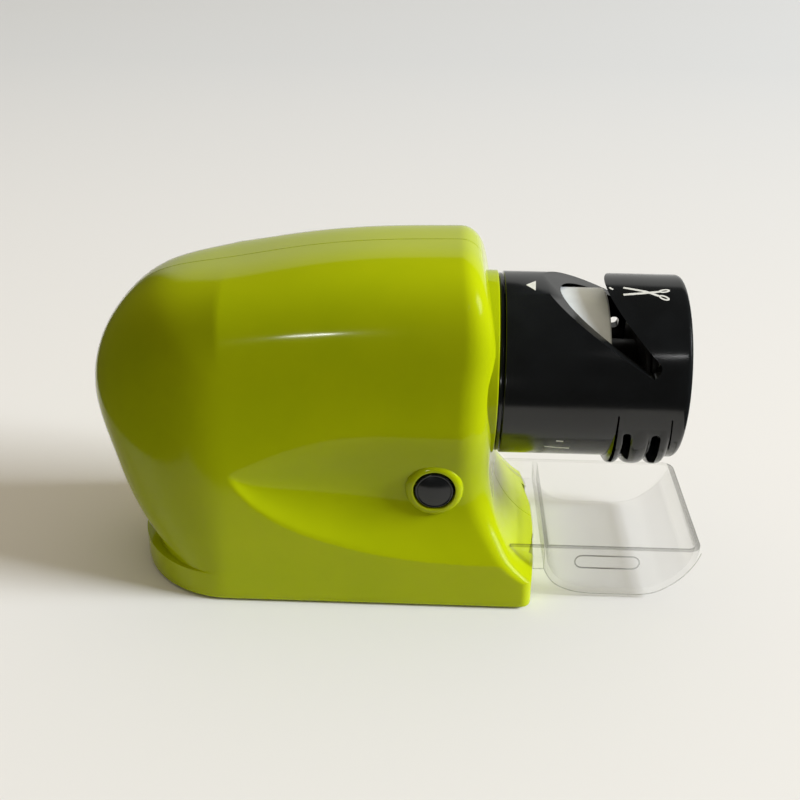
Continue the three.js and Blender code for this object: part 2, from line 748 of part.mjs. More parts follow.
addPart('battery_holder', batteryHolder(), 'blackSatin');
cellPlaces().forEach(([y, z], i) => {
  const bodyEnd = cellFrontX - cell.nubLength;
  const shade = cell.radius / 10;
  const points = [[cellRearX, 0], [cellRearX, cell.radius - shade], [cellRearX + shade, cell.radius],
    [bodyEnd - shade, cell.radius], [bodyEnd, cell.radius - shade], [bodyEnd, cell.nubRadius],
    [cellFrontX, cell.nubRadius], [cellFrontX, 0]];
  addPart(`battery_cell_${i + 1}`, turned(points, 'x', [0, y, z], coarse), 'cellWrap');
  const springX = holderRearX + holder.wall + seatGap + contact.thick + contact.wire + seatGap;
  const springEnd = cellRearX - seatGap - contact.wire;
  const coil = new Coil(new THREE.Vector3(springX, y, z), 'x', springEnd - springX, contact.bigRadius,
    contact.smallRadius, contact.turns);
  addPart(`contact_spring_${i + 1}`, sweep(coil, contact.wire, 5, contact.turns * 8), 'steel');
});
{
  const lowZ = holder.lowZ + holder.clearance;
  const highZ = lowZ + cellPitch + 2 * cell.radius;
  const half = cellPitch / 2 + cell.radius;
  const rearPlate = holderRearX + holder.wall + seatGap;
  addPart('contact_plate_rear', box([rearPlate, -half, lowZ], [rearPlate + contact.thick, half, highZ]), 'steel');
  const frontPlate = cellFrontX + seatGap;
  addPart('contact_plate_front', box([frontPlate, -half, lowZ], [frontPlate + contact.thick, half, highZ]), 'steel');
}

// Motor, bracket and spindle

function motorCan() {
  const r = motor.radius;
  const points = [[motor.rearX, shaft.radius + turnGap], [motor.rearX, r], [motorFrontX - motor.round, r],
    [motorFrontX - motor.round / 3, r - motor.round / 3], [motorFrontX, r - motor.round],
    [motorFrontX, motor.boss], [motorFrontX + motor.bossLength, motor.boss],
    [motorFrontX + motor.bossLength, shaft.radius + turnGap], [motor.rearX, shaft.radius + turnGap]];
  let can = turned(points, 'x', [0, 0, headZ], medium);
  for (const side of [-1, 1]) {
    const centre = [0, side * bracket.screwRing, headZ];
    const depth = motorFrontX - 2 * bracket.headThick;
    can = can.subtract(rod(depth - seatGap, motorFrontX + cutRun, bracket.screwRadius + seatGap, 'x', centre, coarse));
  }
  return can;
}

function motorEndCap() {
  const rear = motor.rearX - seatGap - motor.endCap;
  let end = onHead(rear, motor.rearX - seatGap, motor.radius - motor.round);
  for (const side of [-1, 1]) {
    const y = side * motor.terminalY;
    end = end.add(box([rear - motor.terminal, y - motor.terminalThick / 2, headZ - motor.terminalWidth / 2],
      [rear + motor.endCap / 2, y + motor.terminalThick / 2, headZ + motor.terminalWidth / 2]));
  }
  return end;
}

function motorBracket() {
  let plate = headRing(bracketRearX, bracketFrontX, motor.boss + seatGap, bracket.radius, medium);
  for (const side of [-1, 1]) {
    const centre = [0, side * bracket.screwRing, headZ];
    plate = plate.subtract(rod(bracketRearX - cutRun, bracketFrontX + cutRun, bracket.screwRadius + seatGap, 'x',
      centre, coarse));
  }
  return plate;
}

addPart('motor_can', motorCan(), 'steel');
addPart('motor_end_cap', motorEndCap(), 'whitePlastic');
addPart('motor_bracket', motorBracket(), 'steel');
[-1, 1].forEach((side, i) => {
  const centre = [0, side * bracket.screwRing, headZ];
  const from = motorFrontX - 2 * bracket.headThick;
  const head = bracketFrontX + seatGap;
  const points = [[from, 0], [from, bracket.screwRadius], [head, bracket.screwRadius], [head, bracket.screwHead],
    [head + bracket.headThick, bracket.screwHead], [head + bracket.headThick, 0]];
  addPart(`motor_screw_${i + 1}`, turned(points, 'x', centre, coarse), 'steel');
});

addPart('drive_shaft', onHead(motor.rearX + motor.endCap, shaft.reach, shaft.radius, coarse), 'steel');

function wheelHub() {
  const bore = shaft.radius + seatGap;
  const wellEnd = shaft.reach + seatGap;
  const flangeEnd = stone.rearX - seatGap;
  const points = [[hub.rearX, bore], [hub.rearX, hub.radius], [flangeEnd - hub.flangeThick, hub.radius],
    [flangeEnd - hub.flangeThick, hub.flange], [flangeEnd, hub.flange], [flangeEnd, hub.radius],
    [hub.frontX, hub.radius], [hub.frontX, hub.pin], [capWallX - seatGap, hub.pin], [capWallX - seatGap, 0],
    [wellEnd, 0], [wellEnd, bore], [hub.rearX, bore]];
  return turned(points, 'x', [0, 0, headZ], medium);
}

addPart('wheel_hub', wheelHub(), 'blackSatin');
{
  const bore = hub.radius + seatGap;
  const r = stone.radius;
  const e = stone.round;
  const points = [[stone.rearX, bore], [stone.rearX, r - e], [stone.rearX + e, r], [stone.frontX - e, r],
    [stone.frontX, r - e], [stone.frontX, bore], [stone.rearX, bore]];
  addPart('grinding_stone', turned(points, 'x', [0, 0, headZ], fine), 'stoneGrey');
  const [rear, front] = [stone.frontX + seatGap, knifeWheel.rearX - seatGap];
  const flangeX = front - spacer.flangeThick;
  addPart('spacer_ring', turned([[rear, bore], [rear, spacer.radius], [flangeX, spacer.radius],
    [flangeX, spacer.flange], [front, spacer.flange], [front, bore], [rear, bore]], 'x', [0, 0, headZ], medium),
  'blackSatin');
  addPart('knife_wheel', turned([[knifeWheel.rearX, bore], [knifeWheel.rearX, knifeWheel.radius - e],
    [knifeWheel.rearX + e, knifeWheel.radius], [knifeWheel.frontX - e, knifeWheel.radius],
    [knifeWheel.frontX, knifeWheel.radius - e], [knifeWheel.frontX, bore], [knifeWheel.rearX, bore]],
  'x', [0, 0, headZ], fine), 'stoneGrey');
}

// Seat ring between the shells and the cap, with one springy tongue that clicks in the cap

function seatRingSolid() {
  const sleeve = collar.bore - turnGap;
  const spigot = cap.bore - turnGap;
  const noseX = cap.rearX + seatRing.nose;
  const points = [[ringTailX, seatRing.bore], [ringTailX, sleeve], [flangeRearX, sleeve],
    [flangeRearX, seatRing.flange], [flangeFrontX, seatRing.flange], [flangeFrontX, spigot],
    [noseX, spigot], [noseX, seatRing.bore], [ringTailX, seatRing.bore]];
  let part = turned(points, 'x', [0, 0, headZ], fine);
  const tongueZ = headZ + spigot;
  const halfTongue = detent.width;
  for (const side of [-1, 1]) {
    const y = side * (halfTongue + turnGap / 2);
    part = part.subtract(box([flangeFrontX + seatGap, y - turnGap / 2, headZ], [noseX + cutRun, y + turnGap / 2,
      tongueZ + cutRun]));
  }
  const bumpX = (flangeFrontX + noseX) / 2;
  const bump = rod(tongueZ - detent.width, tongueZ + detent.bump, detent.width / 2, 'z', [bumpX, 0, 0], coarse);
  return part.add(bump);
}

addPart('cap_seat_ring', seatRingSolid(), 'blackGloss');

// Guide cap

// A slot round the cap's wall, between two angles measured from the top towards the button side
function wallSlot(x, width, fromDeg, toDeg) {
  const reach = cap.radius + lip.height + cutRun;
  const steps = 8;
  const [inner, end] = [cap.bore - cutRun, width / 2 / cap.radius];
  const [from, to] = [THREE.MathUtils.degToRad(fromDeg), THREE.MathUtils.degToRad(toDeg)];
  const place = (radius, angle) => [-radius * Math.sin(angle), headZ + radius * Math.cos(angle)];
  const angles = Array.from({ length: steps + 1 }, (_, i) => from + end + ((to - from - 2 * end) * i) / steps);
  const outline = new THREE.Shape([...angles.map((a) => new THREE.Vector2(...place(reach, a))),
    ...angles.reverse().map((a) => new THREE.Vector2(...place(inner, a)))]);
  const geometry = new THREE.ExtrudeGeometry(outline, { depth: width, bevelEnabled: false });
  geometry.rotateY(Math.PI / 2);
  geometry.rotateX(Math.PI / 2);
  geometry.translate(x - width / 2, 0, 0);
  let cutter = toSolid(geometry);
  for (const angle of [from + end, to - end]) {
    const pin = new THREE.CylinderGeometry(width / 2, width / 2, reach - inner, coarse);
    pin.translate(0, (reach + inner) / 2, 0);
    pin.rotateX(Math.PI / 2 + angle);
    pin.translate(x, 0, headZ);
    cutter = cutter.add(toSolid(pin));
  }
  return cutter;
}

// The slanted scissors channel: a wedge between a floor plane and a steeper lip plane, closed at its end
function channelCutter() {
  const top = headZ + cap.radius;
  const floorZ = (x, y) => top - channel.floorSlope * (x - channel.floorX) + channel.floorTwist * y;
  const lipZ = (x, y) => top - channel.lipSlope * (x - channel.lipX) + channel.lipTwist * y;
  const high = top + cutRun;
  const corners = [];
  for (const y of [-cap.radius - cutRun, cap.radius + cutRun]) {
    const farX = channel.floorX - cutRun;
    const lipTopX = channel.lipX + (top + channel.lipTwist * y - high) / channel.lipSlope;
    const lowX = channel.endX;
    const endLift = lipZ(lowX, y) - floorZ(lowX, y);
    const endX = lowX + endLift * channel.endLean;
    corners.push([farX, y, high], [farX, y, floorZ(farX, y)], [lowX, y, floorZ(lowX, y)],
      [endX, y, lipZ(endX, y)], [lipTopX, y, high]);
  }
  return wasm.Manifold.hull(corners);
}

function lipRing([fromX, toX]) {
  const toward = THREE.MathUtils.degToRad(lip.towardDeg);
  const offset = cap.radius + lip.height - lip.radius;
  const centre = [0, -offset * Math.sin(toward), headZ + offset * Math.cos(toward)];
  const r = lip.radius;
  const e = lip.round;
  return turned([[fromX, 0], [fromX, r - e], [fromX + e / 3, r - e / 3], [fromX + e, r], [toX - e, r],
    [toX - e / 3, r - e / 3], [toX, r - e], [toX, 0]], 'x', centre, fine);
}

function guideCap() {
  const e = cap.edge;
  const bossX = hub.frontX + seatGap;
  const points = [[cap.rearX, 0], [cap.rearX, cap.radius], [cap.frontX - e, cap.radius],
    [cap.frontX - e / 2, cap.radius - e * 0.13], [cap.frontX - e * 0.13, cap.radius - e / 2],
    [cap.frontX, cap.radius - e], [cap.frontX, 0]];
  let part = turned(points, 'x', [0, 0, headZ], fine);
  for (const span of lip.spans) part = part.add(lipRing(span));
  part = part.subtract(onHead(cap.rearX - cutRun, capWallX, cap.bore, fine));
  part = part.add(headRing(bossX, capWallX + cap.frontWall / 2, bush.radius + seatGap, cap.bossRadius));
  for (let i = 0; i < detent.count; i++) {
    const turn = (i / detent.count) * 2 * Math.PI;
    const [y, z] = [-cap.bore * Math.sin(turn), headZ + cap.bore * Math.cos(turn)];
    const middleX = (flangeFrontX + cap.rearX + seatRing.nose) / 2;
    part = part.subtract(rod(middleX - detent.width, middleX + detent.width, detent.depth, 'x', [0, y, z], coarse));
  }
  part = part.subtract(channelCutter());
  for (const slit of slits) part = part.subtract(wallSlot(slit.x, slit.width, slit.fromDeg, slit.toDeg));
  return part.subtract(wallSlot(cap.ventX, vent.width, vent.fromDeg, vent.toDeg));
}

addPart('guide_cap', guideCap(), 'blackGloss');
addPart('shaft_bush', headRing(capWallX - bush.length, capWallX - seatGap / 3, hub.pin + bush.clearance, bush.radius),
  'brass');

// Button, spring and switch

function powerButton() {
  const flangeY = buttonBackY + seatGap;
  const points = [[button.faceY - button.dome, 0], [button.faceY - button.dome * 0.8, button.radius / 2],
    [button.faceY, button.radius - button.dome], [button.faceY + button.dome, button.radius],
    [flangeY, button.radius], [flangeY, button.flange], [flangeBackY, button.flange], [flangeBackY, button.stem],
    [stemEndY, button.stem], [stemEndY, 0]];
  return turned(points, 'y', [button.x, 0, button.z], medium);
}

addPart('power_button', powerButton(), 'blackGloss');
{
  const centre = [button.x, 0, button.z];
  const from = flangeBackY + seatGap + buttonSpring.wire;
  const to = plateY - seatGap - buttonSpring.wire;
  const coil = new Coil(new THREE.Vector3(button.x, from, button.z), 'y', to - from, buttonSpring.radius,
    buttonSpring.radius, buttonSpring.turns);
  addPart('button_spring', sweep(coil, buttonSpring.wire, 5, buttonSpring.turns * 10), 'steel');

  const [halfX, halfZ] = [switchPlate.halfLength, switchPlate.halfHeight];
  const plate = box([button.x - halfX, plateY, button.z - halfZ], [button.x + halfX, plateBackY, button.z + halfZ]);
  const hole = rod(plateY - cutRun, plateBackY + cutRun, plunger.radius + switchPlate.holeGap, 'y', centre, coarse);
  addPart('switch_bracket', plate.subtract(hole), 'blackSatin');

  addPart('switch_plunger', rod(plungerY, plungerY + plunger.length, plunger.radius, 'y', centre, coarse),
    'whitePlastic');

  const [w, h] = [switchBody.width / 2, switchBody.height / 2];
  const backY = switchY + switchBody.depth;
  let body = box([button.x - w, switchY, button.z - h], [button.x + w, backY, button.z + h]);
  body = body.subtract(rod(switchY - cutRun, switchY + switchBody.wellDepth, plunger.radius + turnGap, 'y', centre,
    coarse));
  for (const side of [-1, 1]) {
    const x = button.x + (side * w) / 2;
    const thin = motor.terminalThick / 2;
    body = body.add(box([x - thin, backY - h / 2, button.z - motor.terminalWidth / 2],
      [x + thin, backY + switchBody.terminal, button.z + motor.terminalWidth / 2]));
  }
  addPart('switch_body', body, 'blackSatin');
}

// Wires: each point of a route is measured from a named place along the body, and from a named level

const switchEndY = switchY + switchBody.depth + switchBody.terminal + seatGap + wire.radius;
const wirePlaces = {
  holder: holder.frontX + seatGap + wire.radius,
  motor: motor.rearX - 2 * seatGap - motor.endCap - motor.terminal - wire.radius,
  battery: button.x + switchBody.width / 4,
  drive: button.x - switchBody.width / 4,
};
const wireLevels = { roof: holderTop + seatGap + wire.radius, head: headZ, switch: button.z };
const terminalY = motor.terminalY;
const wires = {
  wire_battery_motor: ['redWire', [
    ['motor', -5, terminalY, 'roof', 0], ['motor', -7, terminalY, 'roof', 4], ['motor', -8, terminalY, 'roof', 9],
    ['motor', -6, terminalY, 'head', -4], ['motor', -3, terminalY, 'head', 0], ['motor', 0, terminalY, 'head', 0],
  ]],
  wire_switch_motor: ['blackWire', [
    ['drive', 0, switchEndY, 'switch', 0], ['holder', 7.1, 1, 'switch', 3], ['holder', 0.1, 2, 'roof', 0.4],
    ['holder', -8.9, 0, 'roof', 1], ['motor', 1, -4, 'roof', 2.4], ['motor', -6, -7, 'roof', 6.4],
    ['motor', -8, -terminalY, 'head', -8.2], ['motor', -5, -terminalY, 'head', -1],
    ['motor', 0, -terminalY, 'head', 0],
  ]],
  wire_battery_switch: ['redWire', [
    ['holder', 0, -4, 'switch', -7], ['holder', 5.1, -3, 'switch', -5], ['holder', 10.1, 0, 'switch', -1],
    ['battery', 0, switchEndY, 'switch', 0],
  ]],
};
for (const [name, [material, route]] of Object.entries(wires)) {
  const points = route.map(([place, x, y, level, z]) => (
    new THREE.Vector3(wirePlaces[place] + x, y, wireLevels[level] + z)));
  addPart(name, sweep(new THREE.CatmullRomCurve3(points), wire.radius, wire.sides, points.length * 3), material);
}

// Catch tray

// An upright block whose two front corners are rounded
function roundedPlan(fromX, toX, half, radius, highZ) {
  const outline = new THREE.Shape();
  outline.moveTo(fromX, -half);
  outline.lineTo(toX - radius, -half);
  outline.absarc(toX - radius, radius - half, radius, -Math.PI / 2, 0);
  outline.absarc(toX - radius, half - radius, radius, 0, Math.PI / 2);
  outline.lineTo(fromX, half);
  const geometry = new THREE.ExtrudeGeometry(outline, { depth: highZ, bevelEnabled: false, curveSegments: 5 });
  return toSolid(geometry);
}

function catchTray() {
  const length = tray.frontX - tray.basinX;
  const depth = tray.rimZ - tray.lowZ;
  const hull = hullShares.map(([a, b]) => [tray.basinX + a * length, tray.rimZ - b * depth]);
  const outline = [[tray.basinX, tray.rimZ], ...hull];
  const t = tray.wall;
  const r = tray.cornerRadius;
  let part = plateXZ(outline, -tray.half, tray.half);
  part = part.intersect(roundedPlan(tray.tailReach, tray.frontX, tray.half, r, tray.rimZ));
  const inside = hullShares.map(([a, b]) => [tray.basinX + t + a * (length - 2 * t),
    tray.rimZ - b * (depth - t)]);
  const hollow = [[tray.basinX + t, tray.rimZ + cutRun], ...inside,
    [tray.frontX - t, tray.rimZ + cutRun]];
  const inner = roundedPlan(tray.tailReach, tray.frontX - t, tray.half - t, r - t, tray.rimZ + cutRun);
  part = part.subtract(plateXZ(hollow, -tray.half, tray.half).intersect(inner));
  const tail = [[tray.tailReach, tray.rimZ], [tray.tailReach, tray.tailZ], [tray.basinX + t, tray.tailZ],
    [tray.basinX + t, tray.rimZ]];
  const skirt = housingForm(-seatGap, baseLift - seatGap, outerSteps);
  for (const side of [-1, 1]) {
    const [y0, y1] = side < 0 ? [-tray.half, -tray.half + t] : [tray.half - t, tray.half];
    part = part.add(plateXZ(tail, y0, y1));
  }
  part = part.add(box([tray.tailReach, -tray.half, tray.tailZ], [tray.basinX + t, tray.half, tray.tailZ + t]));
  part = part.subtract(skirt);
  for (const side of [-1, 1]) {
    const middle = side * tray.tongueY;
    part = part.add(box([footX - tray.tongueReach, middle - tray.tongueHalf, tray.tailZ + t - tray.tongueThick],
      [tray.basinX + t, middle + tray.tongueHalf, tray.tailZ + t]));
  }
  return part;
}

addPart('catch_tray', catchTray(), 'clear');

export default sharpener;
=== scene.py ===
import math
import bpy
import bmesh
import numpy as np
from mathutils import Matrix, Vector


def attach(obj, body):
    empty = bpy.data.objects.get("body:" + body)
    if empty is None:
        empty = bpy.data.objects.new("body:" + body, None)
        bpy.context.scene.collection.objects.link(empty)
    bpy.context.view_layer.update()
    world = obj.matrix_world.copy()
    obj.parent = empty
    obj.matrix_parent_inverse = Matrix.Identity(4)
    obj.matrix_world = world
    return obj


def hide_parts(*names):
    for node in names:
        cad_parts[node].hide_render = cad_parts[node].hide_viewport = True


# cordless knife sharpener: dictionaries hold millimetres and degrees, meshes hold metres
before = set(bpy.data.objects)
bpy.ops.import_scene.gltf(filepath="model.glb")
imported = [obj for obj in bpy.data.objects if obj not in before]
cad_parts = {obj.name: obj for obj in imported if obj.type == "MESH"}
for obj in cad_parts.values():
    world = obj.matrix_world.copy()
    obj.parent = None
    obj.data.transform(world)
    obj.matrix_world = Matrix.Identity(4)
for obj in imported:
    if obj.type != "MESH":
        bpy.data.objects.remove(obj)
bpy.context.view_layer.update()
mm = 0.001
quarter = math.pi / 2


# camera

cameraView = {"place": (8.71, -291.18, 191.13), "right": (0.9993, 0.0361, 0.0119),
              "up": (-0.0267, 0.4436, 0.8958), "lens": 52.755, "sensor": 36.0, "clip": (0.01, 50)}


def linkedObject(name, data):
    obj = bpy.data.objects.new(name, data)
    bpy.context.scene.collection.objects.link(obj)
    return obj


def makeCamera(spec):
    data = bpy.data.cameras.new("photoCamera")
    data.lens, data.sensor_width = spec["lens"], spec["sensor"]
    data.clip_start, data.clip_end = spec["clip"]
    obj = linkedObject("photoCamera", data)
    obj.location = Vector(spec["place"]) * mm
    right = Vector(spec["right"]).normalized()
    back = right.cross(Vector(spec["up"])).normalized()
    obj.rotation_mode = "QUATERNION"
    obj.rotation_quaternion = Matrix((right, back.cross(right), back)).transposed().to_quaternion()
    bpy.context.scene.camera = obj


makeCamera(cameraView)
bpy.context.scene.view_settings.view_transform = "Standard"


# node helpers: a value is a number, a colour or another node's output

def setInputs(tree, node, values):
    for key, value in values.items():
        socket = node.inputs[key]
        if isinstance(value, bpy.types.NodeSocket):
            tree.links.new(value, socket)
        else:
            socket.default_value = (*value, 1) if socket.type == "RGBA" else value


def addNode(tree, kind, values=None, **settings):
    node = tree.nodes.new(kind)
    for key, value in settings.items():
        setattr(node, key, value)
    setInputs(tree, node, values or {})
    return node


def made(tree, kind, outName, values=None, **settings):
    return addNode(tree, kind, values, **settings).outputs[outName]


def ramp(tree, share, *stops):
    node = addNode(tree, "ShaderNodeValToRGB", {"Fac": share})
    for element, (place, colour) in zip(node.color_ramp.elements, stops):
        element.position, element.color = place, (*colour, 1)
    return node.outputs["Color"]


def mixColours(tree, share, first, second):
    return made(tree, "ShaderNodeMix", 2, {0: share, 6: first, 7: second}, data_type="RGBA")


def ranged(tree, value, low, high, toLow=0.0, toHigh=1.0):
    return made(tree, "ShaderNodeMapRange", "Result",
                {"Value": value, "From Min": low, "From Max": high, "To Min": toLow, "To Max": toHigh})


def calculated(tree, operation, first, second):
    return made(tree, "ShaderNodeMath", "Value", {0: first, 1: second}, operation=operation)


def noise(tree, place, size, detail, roughness=0.5):
    return made(tree, "ShaderNodeTexNoise", "Fac",
                {"Vector": place, "Scale": 1 / (size * mm), "Detail": detail, "Roughness": roughness})


# materials: each dictionary is one finish; what it leaves out comes from plainFinish

plainFinish = {"waves": 3, "waveHeight": 0.003, "grain": 0.3, "grainHeight": 0.002, "metal": 0.0,
               "shine": 0.5}
finishes = {
    "limePlastic": {"colour": (0.40, 0.465, 0.002), "tint": (0.37, 0.44, 0.002), "patch": 26,
                    "rough": (0.08, 0.13), "waves": 9, "grain": 0.25, "grainHeight": 0.0005, "shine": 0.17,
                    "slot": "green_gloss"},
    "blackGloss": {"colour": (0.006, 0.0065, 0.007), "tint": (0.010, 0.011, 0.012), "patch": 14,
                   "rough": (0.12, 0.2), "waves": 7, "grainHeight": 0.0006, "slot": "black_gloss"},
    "blackSatin": {"colour": (0.012, 0.012, 0.013), "tint": (0.018, 0.018, 0.019), "patch": 8,
                   "rough": (0.42, 0.55), "grain": 0.35, "grainHeight": 0.004, "slot": "black_satin"},
    "whiteNylon": {"colour": (0.70, 0.70, 0.66), "tint": (0.63, 0.62, 0.57), "patch": 5, "rough": (0.4, 0.5),
                   "waveHeight": 0.002, "slot": "white_plastic"},
    "rubberFoot": {"colour": (0.02, 0.02, 0.021), "tint": (0.032, 0.031, 0.03), "patch": 3,
                   "rough": (0.75, 0.9), "waves": 1.5, "waveHeight": 0.004, "grain": 0.2, "grainHeight": 0.01,
                   "slot": "rubber"},
    "cellSleeve": {"colour": (0.10, 0.16, 0.20), "tint": (0.08, 0.13, 0.17), "patch": 9, "rough": (0.2, 0.3),
                   "waves": 5, "grainHeight": 0.001, "slot": "cell_wrap"},
    "redWire": {"colour": (0.42, 0.016, 0.012), "tint": (0.34, 0.012, 0.01), "patch": 6,
                "rough": (0.35, 0.45), "waves": 2, "slot": "red_wire"},
    "blackWire": {"colour": (0.012, 0.012, 0.013), "tint": (0.02, 0.02, 0.02), "patch": 6,
                  "rough": (0.35, 0.45), "waves": 2, "slot": "black_wire"},
    "whitePrint": {"colour": (0.80, 0.80, 0.78), "tint": (0.70, 0.70, 0.68), "patch": 1.2,
                   "rough": (0.4, 0.55), "waves": 1, "waveHeight": 0.001, "grain": 0.2,
                   "slot": "white_plastic"},
    "stoneGrey": {"colour": (0.88, 0.94, 1.0), "tint": (0.82, 0.88, 0.94), "patch": 6, "rough": (0.36, 0.5),
                  "waves": 2.5, "waveHeight": 0.01, "grain": 0.22, "grainHeight": 0.012,
                  "slot": "stone_grey"},
    "zincSteel": {"colour": (0.58, 0.58, 0.57), "tint": (0.46, 0.46, 0.46), "patch": 2.5,
                  "rough": (0.22, 0.38), "waves": 1.5, "grain": 0.25, "metal": 1.0, "slot": "steel"},
    "turnedBrass": {"colour": (0.70, 0.50, 0.20), "tint": (0.58, 0.40, 0.15), "patch": 2.5,
                    "rough": (0.25, 0.4), "waves": 1.5, "grain": 0.25, "metal": 1.0, "slot": "brass"},
}
# the rim colours are painted shade on the tray's rim band: darker on the near side and along the front, paler
# on the far side
clearPlastic = {"face": (0.995, 0.995, 0.992), "edge": (0.62, 0.62, 0.60), "shine": (1.0, 1.0, 1.0),
                "rough": 0.03, "least": 0.02, "most": 0.4, "power": 4.0, "waves": 16, "waveHeight": 0.004,
                "rimShadeNear": (0.66, 0.66, 0.65), "rimShadeFar": (0.93, 0.93, 0.92), "rimShadeFront": (0.56, 0.56, 0.55),
                "rimZ": (15.35, 15.5), "rimShadeY": (-22, 18), "frontX": (80.9, 81.1)}
# a darker copy of the clear plastic: painted shade on the near edge line and the grip outline
shadedClearLine = dict(clearPlastic, face=(0.86, 0.86, 0.85), edge=(0.55, 0.55, 0.54), power=1.5)
materials = {}


def startMaterial(name):
    material = bpy.data.materials.new(name)
    material.use_nodes = True
    materials[name] = material
    tree = material.node_tree
    return tree, tree.nodes["Principled BSDF"], made(tree, "ShaderNodeTexCoord", "Object")


def bumped(tree, height, distance, **below):
    values = {"Height": height, "Strength": 1.0, "Distance": distance * mm}
    return made(tree, "ShaderNodeBump", "Normal", {**values, **below})


def makeFinish(name, spec):
    spec = {**plainFinish, **spec}
    tree, shader, place = startMaterial(name)
    patches = noise(tree, place, spec["patch"], 3.0, 0.55)
    swell = bumped(tree, noise(tree, place, spec["waves"], 1.0), spec["waveHeight"])
    fine = bumped(tree, noise(tree, place, spec["grain"], 2.0), spec["grainHeight"], Normal=swell)
    colour = ramp(tree, patches, (0.35, spec["tint"]), (0.65, spec["colour"]))
    rough = ranged(tree, patches, 0.3, 0.7, *spec["rough"])
    setInputs(tree, shader, {"Base Color": colour, "Roughness": rough, "Normal": fine,
                             "Metallic": spec["metal"], "IOR": 1.5, "Specular IOR Level": spec["shine"]})


def makeClear(name, spec):
    # a thin clear wall: what isn't mirrored goes straight through, darker where it is seen edge on
    tree, shader, place = startMaterial(name)
    swell = bumped(tree, noise(tree, place, spec["waves"], 1.0), spec["waveHeight"])
    setInputs(tree, shader, {"Base Color": spec["shine"], "Metallic": 1.0, "Roughness": spec["rough"],
                             "Normal": swell})
    slant = made(tree, "ShaderNodeLayerWeight", "Facing", {"Blend": 0.5})
    steep = calculated(tree, "POWER", slant, spec["power"])
    split = addNode(tree, "ShaderNodeSeparateXYZ", {"Vector": place}).outputs

    def beyond(axis, edges):
        return ranged(tree, split[axis], *(edge * mm for edge in edges))

    # painted shade on the rim band: darker on the near side and along the front, paler on the far side
    sides = mixColours(tree, beyond("Y", spec["rimShadeY"]), spec["rimShadeNear"], spec["rimShadeFar"])
    rim = mixColours(tree, beyond("X", spec["frontX"]), sides, spec["rimShadeFront"])
    wall = mixColours(tree, steep, spec["face"], spec["edge"])
    colour = mixColours(tree, beyond("Z", spec["rimZ"]), wall, rim)
    through = made(tree, "ShaderNodeBsdfTransparent", "BSDF", {"Color": colour})
    mirror = ranged(tree, steep, 0.0, 1.0, spec["least"], spec["most"])
    blend = made(tree, "ShaderNodeMixShader", "Shader",
                 {"Fac": mirror, 1: through, 2: shader.outputs["BSDF"]})
    setInputs(tree, tree.nodes["Material Output"], {"Surface": blend})


for finishName, finishSpec in finishes.items():
    makeFinish(finishName, finishSpec)
makeClear("clearPlastic", clearPlastic)
makeClear("shadedClearLine", shadedClearLine)
print("materials:", len(materials))


# mesh helpers

def newPiece(name, corners, faces, edges=()):
    mesh = bpy.data.meshes.new(name)
    mesh.from_pydata([tuple(c * mm for c in corner) for corner in corners], edges, faces)
    return linkedObject(name, mesh)


def editMesh(obj, *steps):
    work = bmesh.new()
    work.from_mesh(obj.data)
    for step in steps:
        step(work)
    work.to_mesh(obj.data)
    work.free()
    return obj


def mergeWithin(gap):
    def merge(work):
        bmesh.ops.remove_doubles(work, verts=work.verts, dist=gap * mm)
        bmesh.ops.dissolve_degenerate(work, edges=work.edges, dist=gap * mm)
    return merge


def splitFaces(work):
    bmesh.ops.triangulate(work, faces=work.faces)


def faceOut(work):
    bmesh.ops.recalc_face_normals(work, faces=work.faces)


def fillHoles(work):
    bmesh.ops.holes_fill(work, edges=[e for e in work.edges if e.is_boundary], sides=0)


def tidyMesh(obj, gap=0.001):
    return editMesh(obj, mergeWithin(gap), faceOut)


def bakeModifiers(obj):
    evaluated = obj.evaluated_get(bpy.context.evaluated_depsgraph_get())
    mesh = bpy.data.meshes.new_from_object(evaluated)
    obj.modifiers.clear()
    obj.data = mesh
    return obj


def combine(obj, tool, operation="DIFFERENCE", solver="MANIFOLD"):
    modifier = obj.modifiers.new("combine", "BOOLEAN")
    modifier.operation, modifier.solver, modifier.object = operation, solver, tool
    bakeModifiers(obj)
    bpy.data.objects.remove(tool)
    return obj


def addBlocks(obj, boxes):
    for low, high in boxes:
        combine(obj, blockPiece("addition", low, high), "UNION", "EXACT")


def joinTools(name, tools):
    corners, faces = [], []
    for tool in tools:
        start = len(corners)
        corners.extend(tuple(c / mm for c in vertex.co) for vertex in tool.data.vertices)
        faces.extend(tuple(start + i for i in polygon.vertices) for polygon in tool.data.polygons)
        bpy.data.objects.remove(tool)
    return newPiece(name, corners, faces)


def finishPiece(obj, material, body, replaced=(), smoothAngle=30):
    for polygon in obj.data.polygons:
        polygon.use_smooth = True
    obj.data.set_sharp_from_angle(angle=math.radians(smoothAngle))
    obj.data.materials.clear()
    obj.data.materials.append(materials[material])
    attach(obj, body)
    if replaced:
        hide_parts(*replaced)
    return obj


def mix(a, b, t):
    return a + (b - a) * t


def clamp(value, low=0.0, high=1.0):
    return max(low, min(high, value))


def blockPiece(name, low, high):
    corners = [(x, y, z) for x in (low[0], high[0]) for y in (low[1], high[1]) for z in (low[2], high[2])]
    faces = [(0, 1, 3, 2), (4, 6, 7, 5), (0, 4, 5, 1), (2, 3, 7, 6), (0, 2, 6, 4), (1, 5, 7, 3)]
    return tidyMesh(newPiece(name, corners, faces))


def sideFaces(count):
    return [(i, (i + 1) % count, count + (i + 1) % count, count + i) for i in range(count)]


# a prism between two rings of corners that match one to one
def prism(name, first, second):
    count = len(first)
    ends = [tuple(range(count)), tuple(range(2 * count - 1, count - 1, -1))]
    return tidyMesh(newPiece(name, [*first, *second], ends + sideFaces(count)))


def plateXZ(name, outline, lowY, highY):
    return prism(name, *([(x, y, z) for x, z in outline] for y in (lowY, highY)))


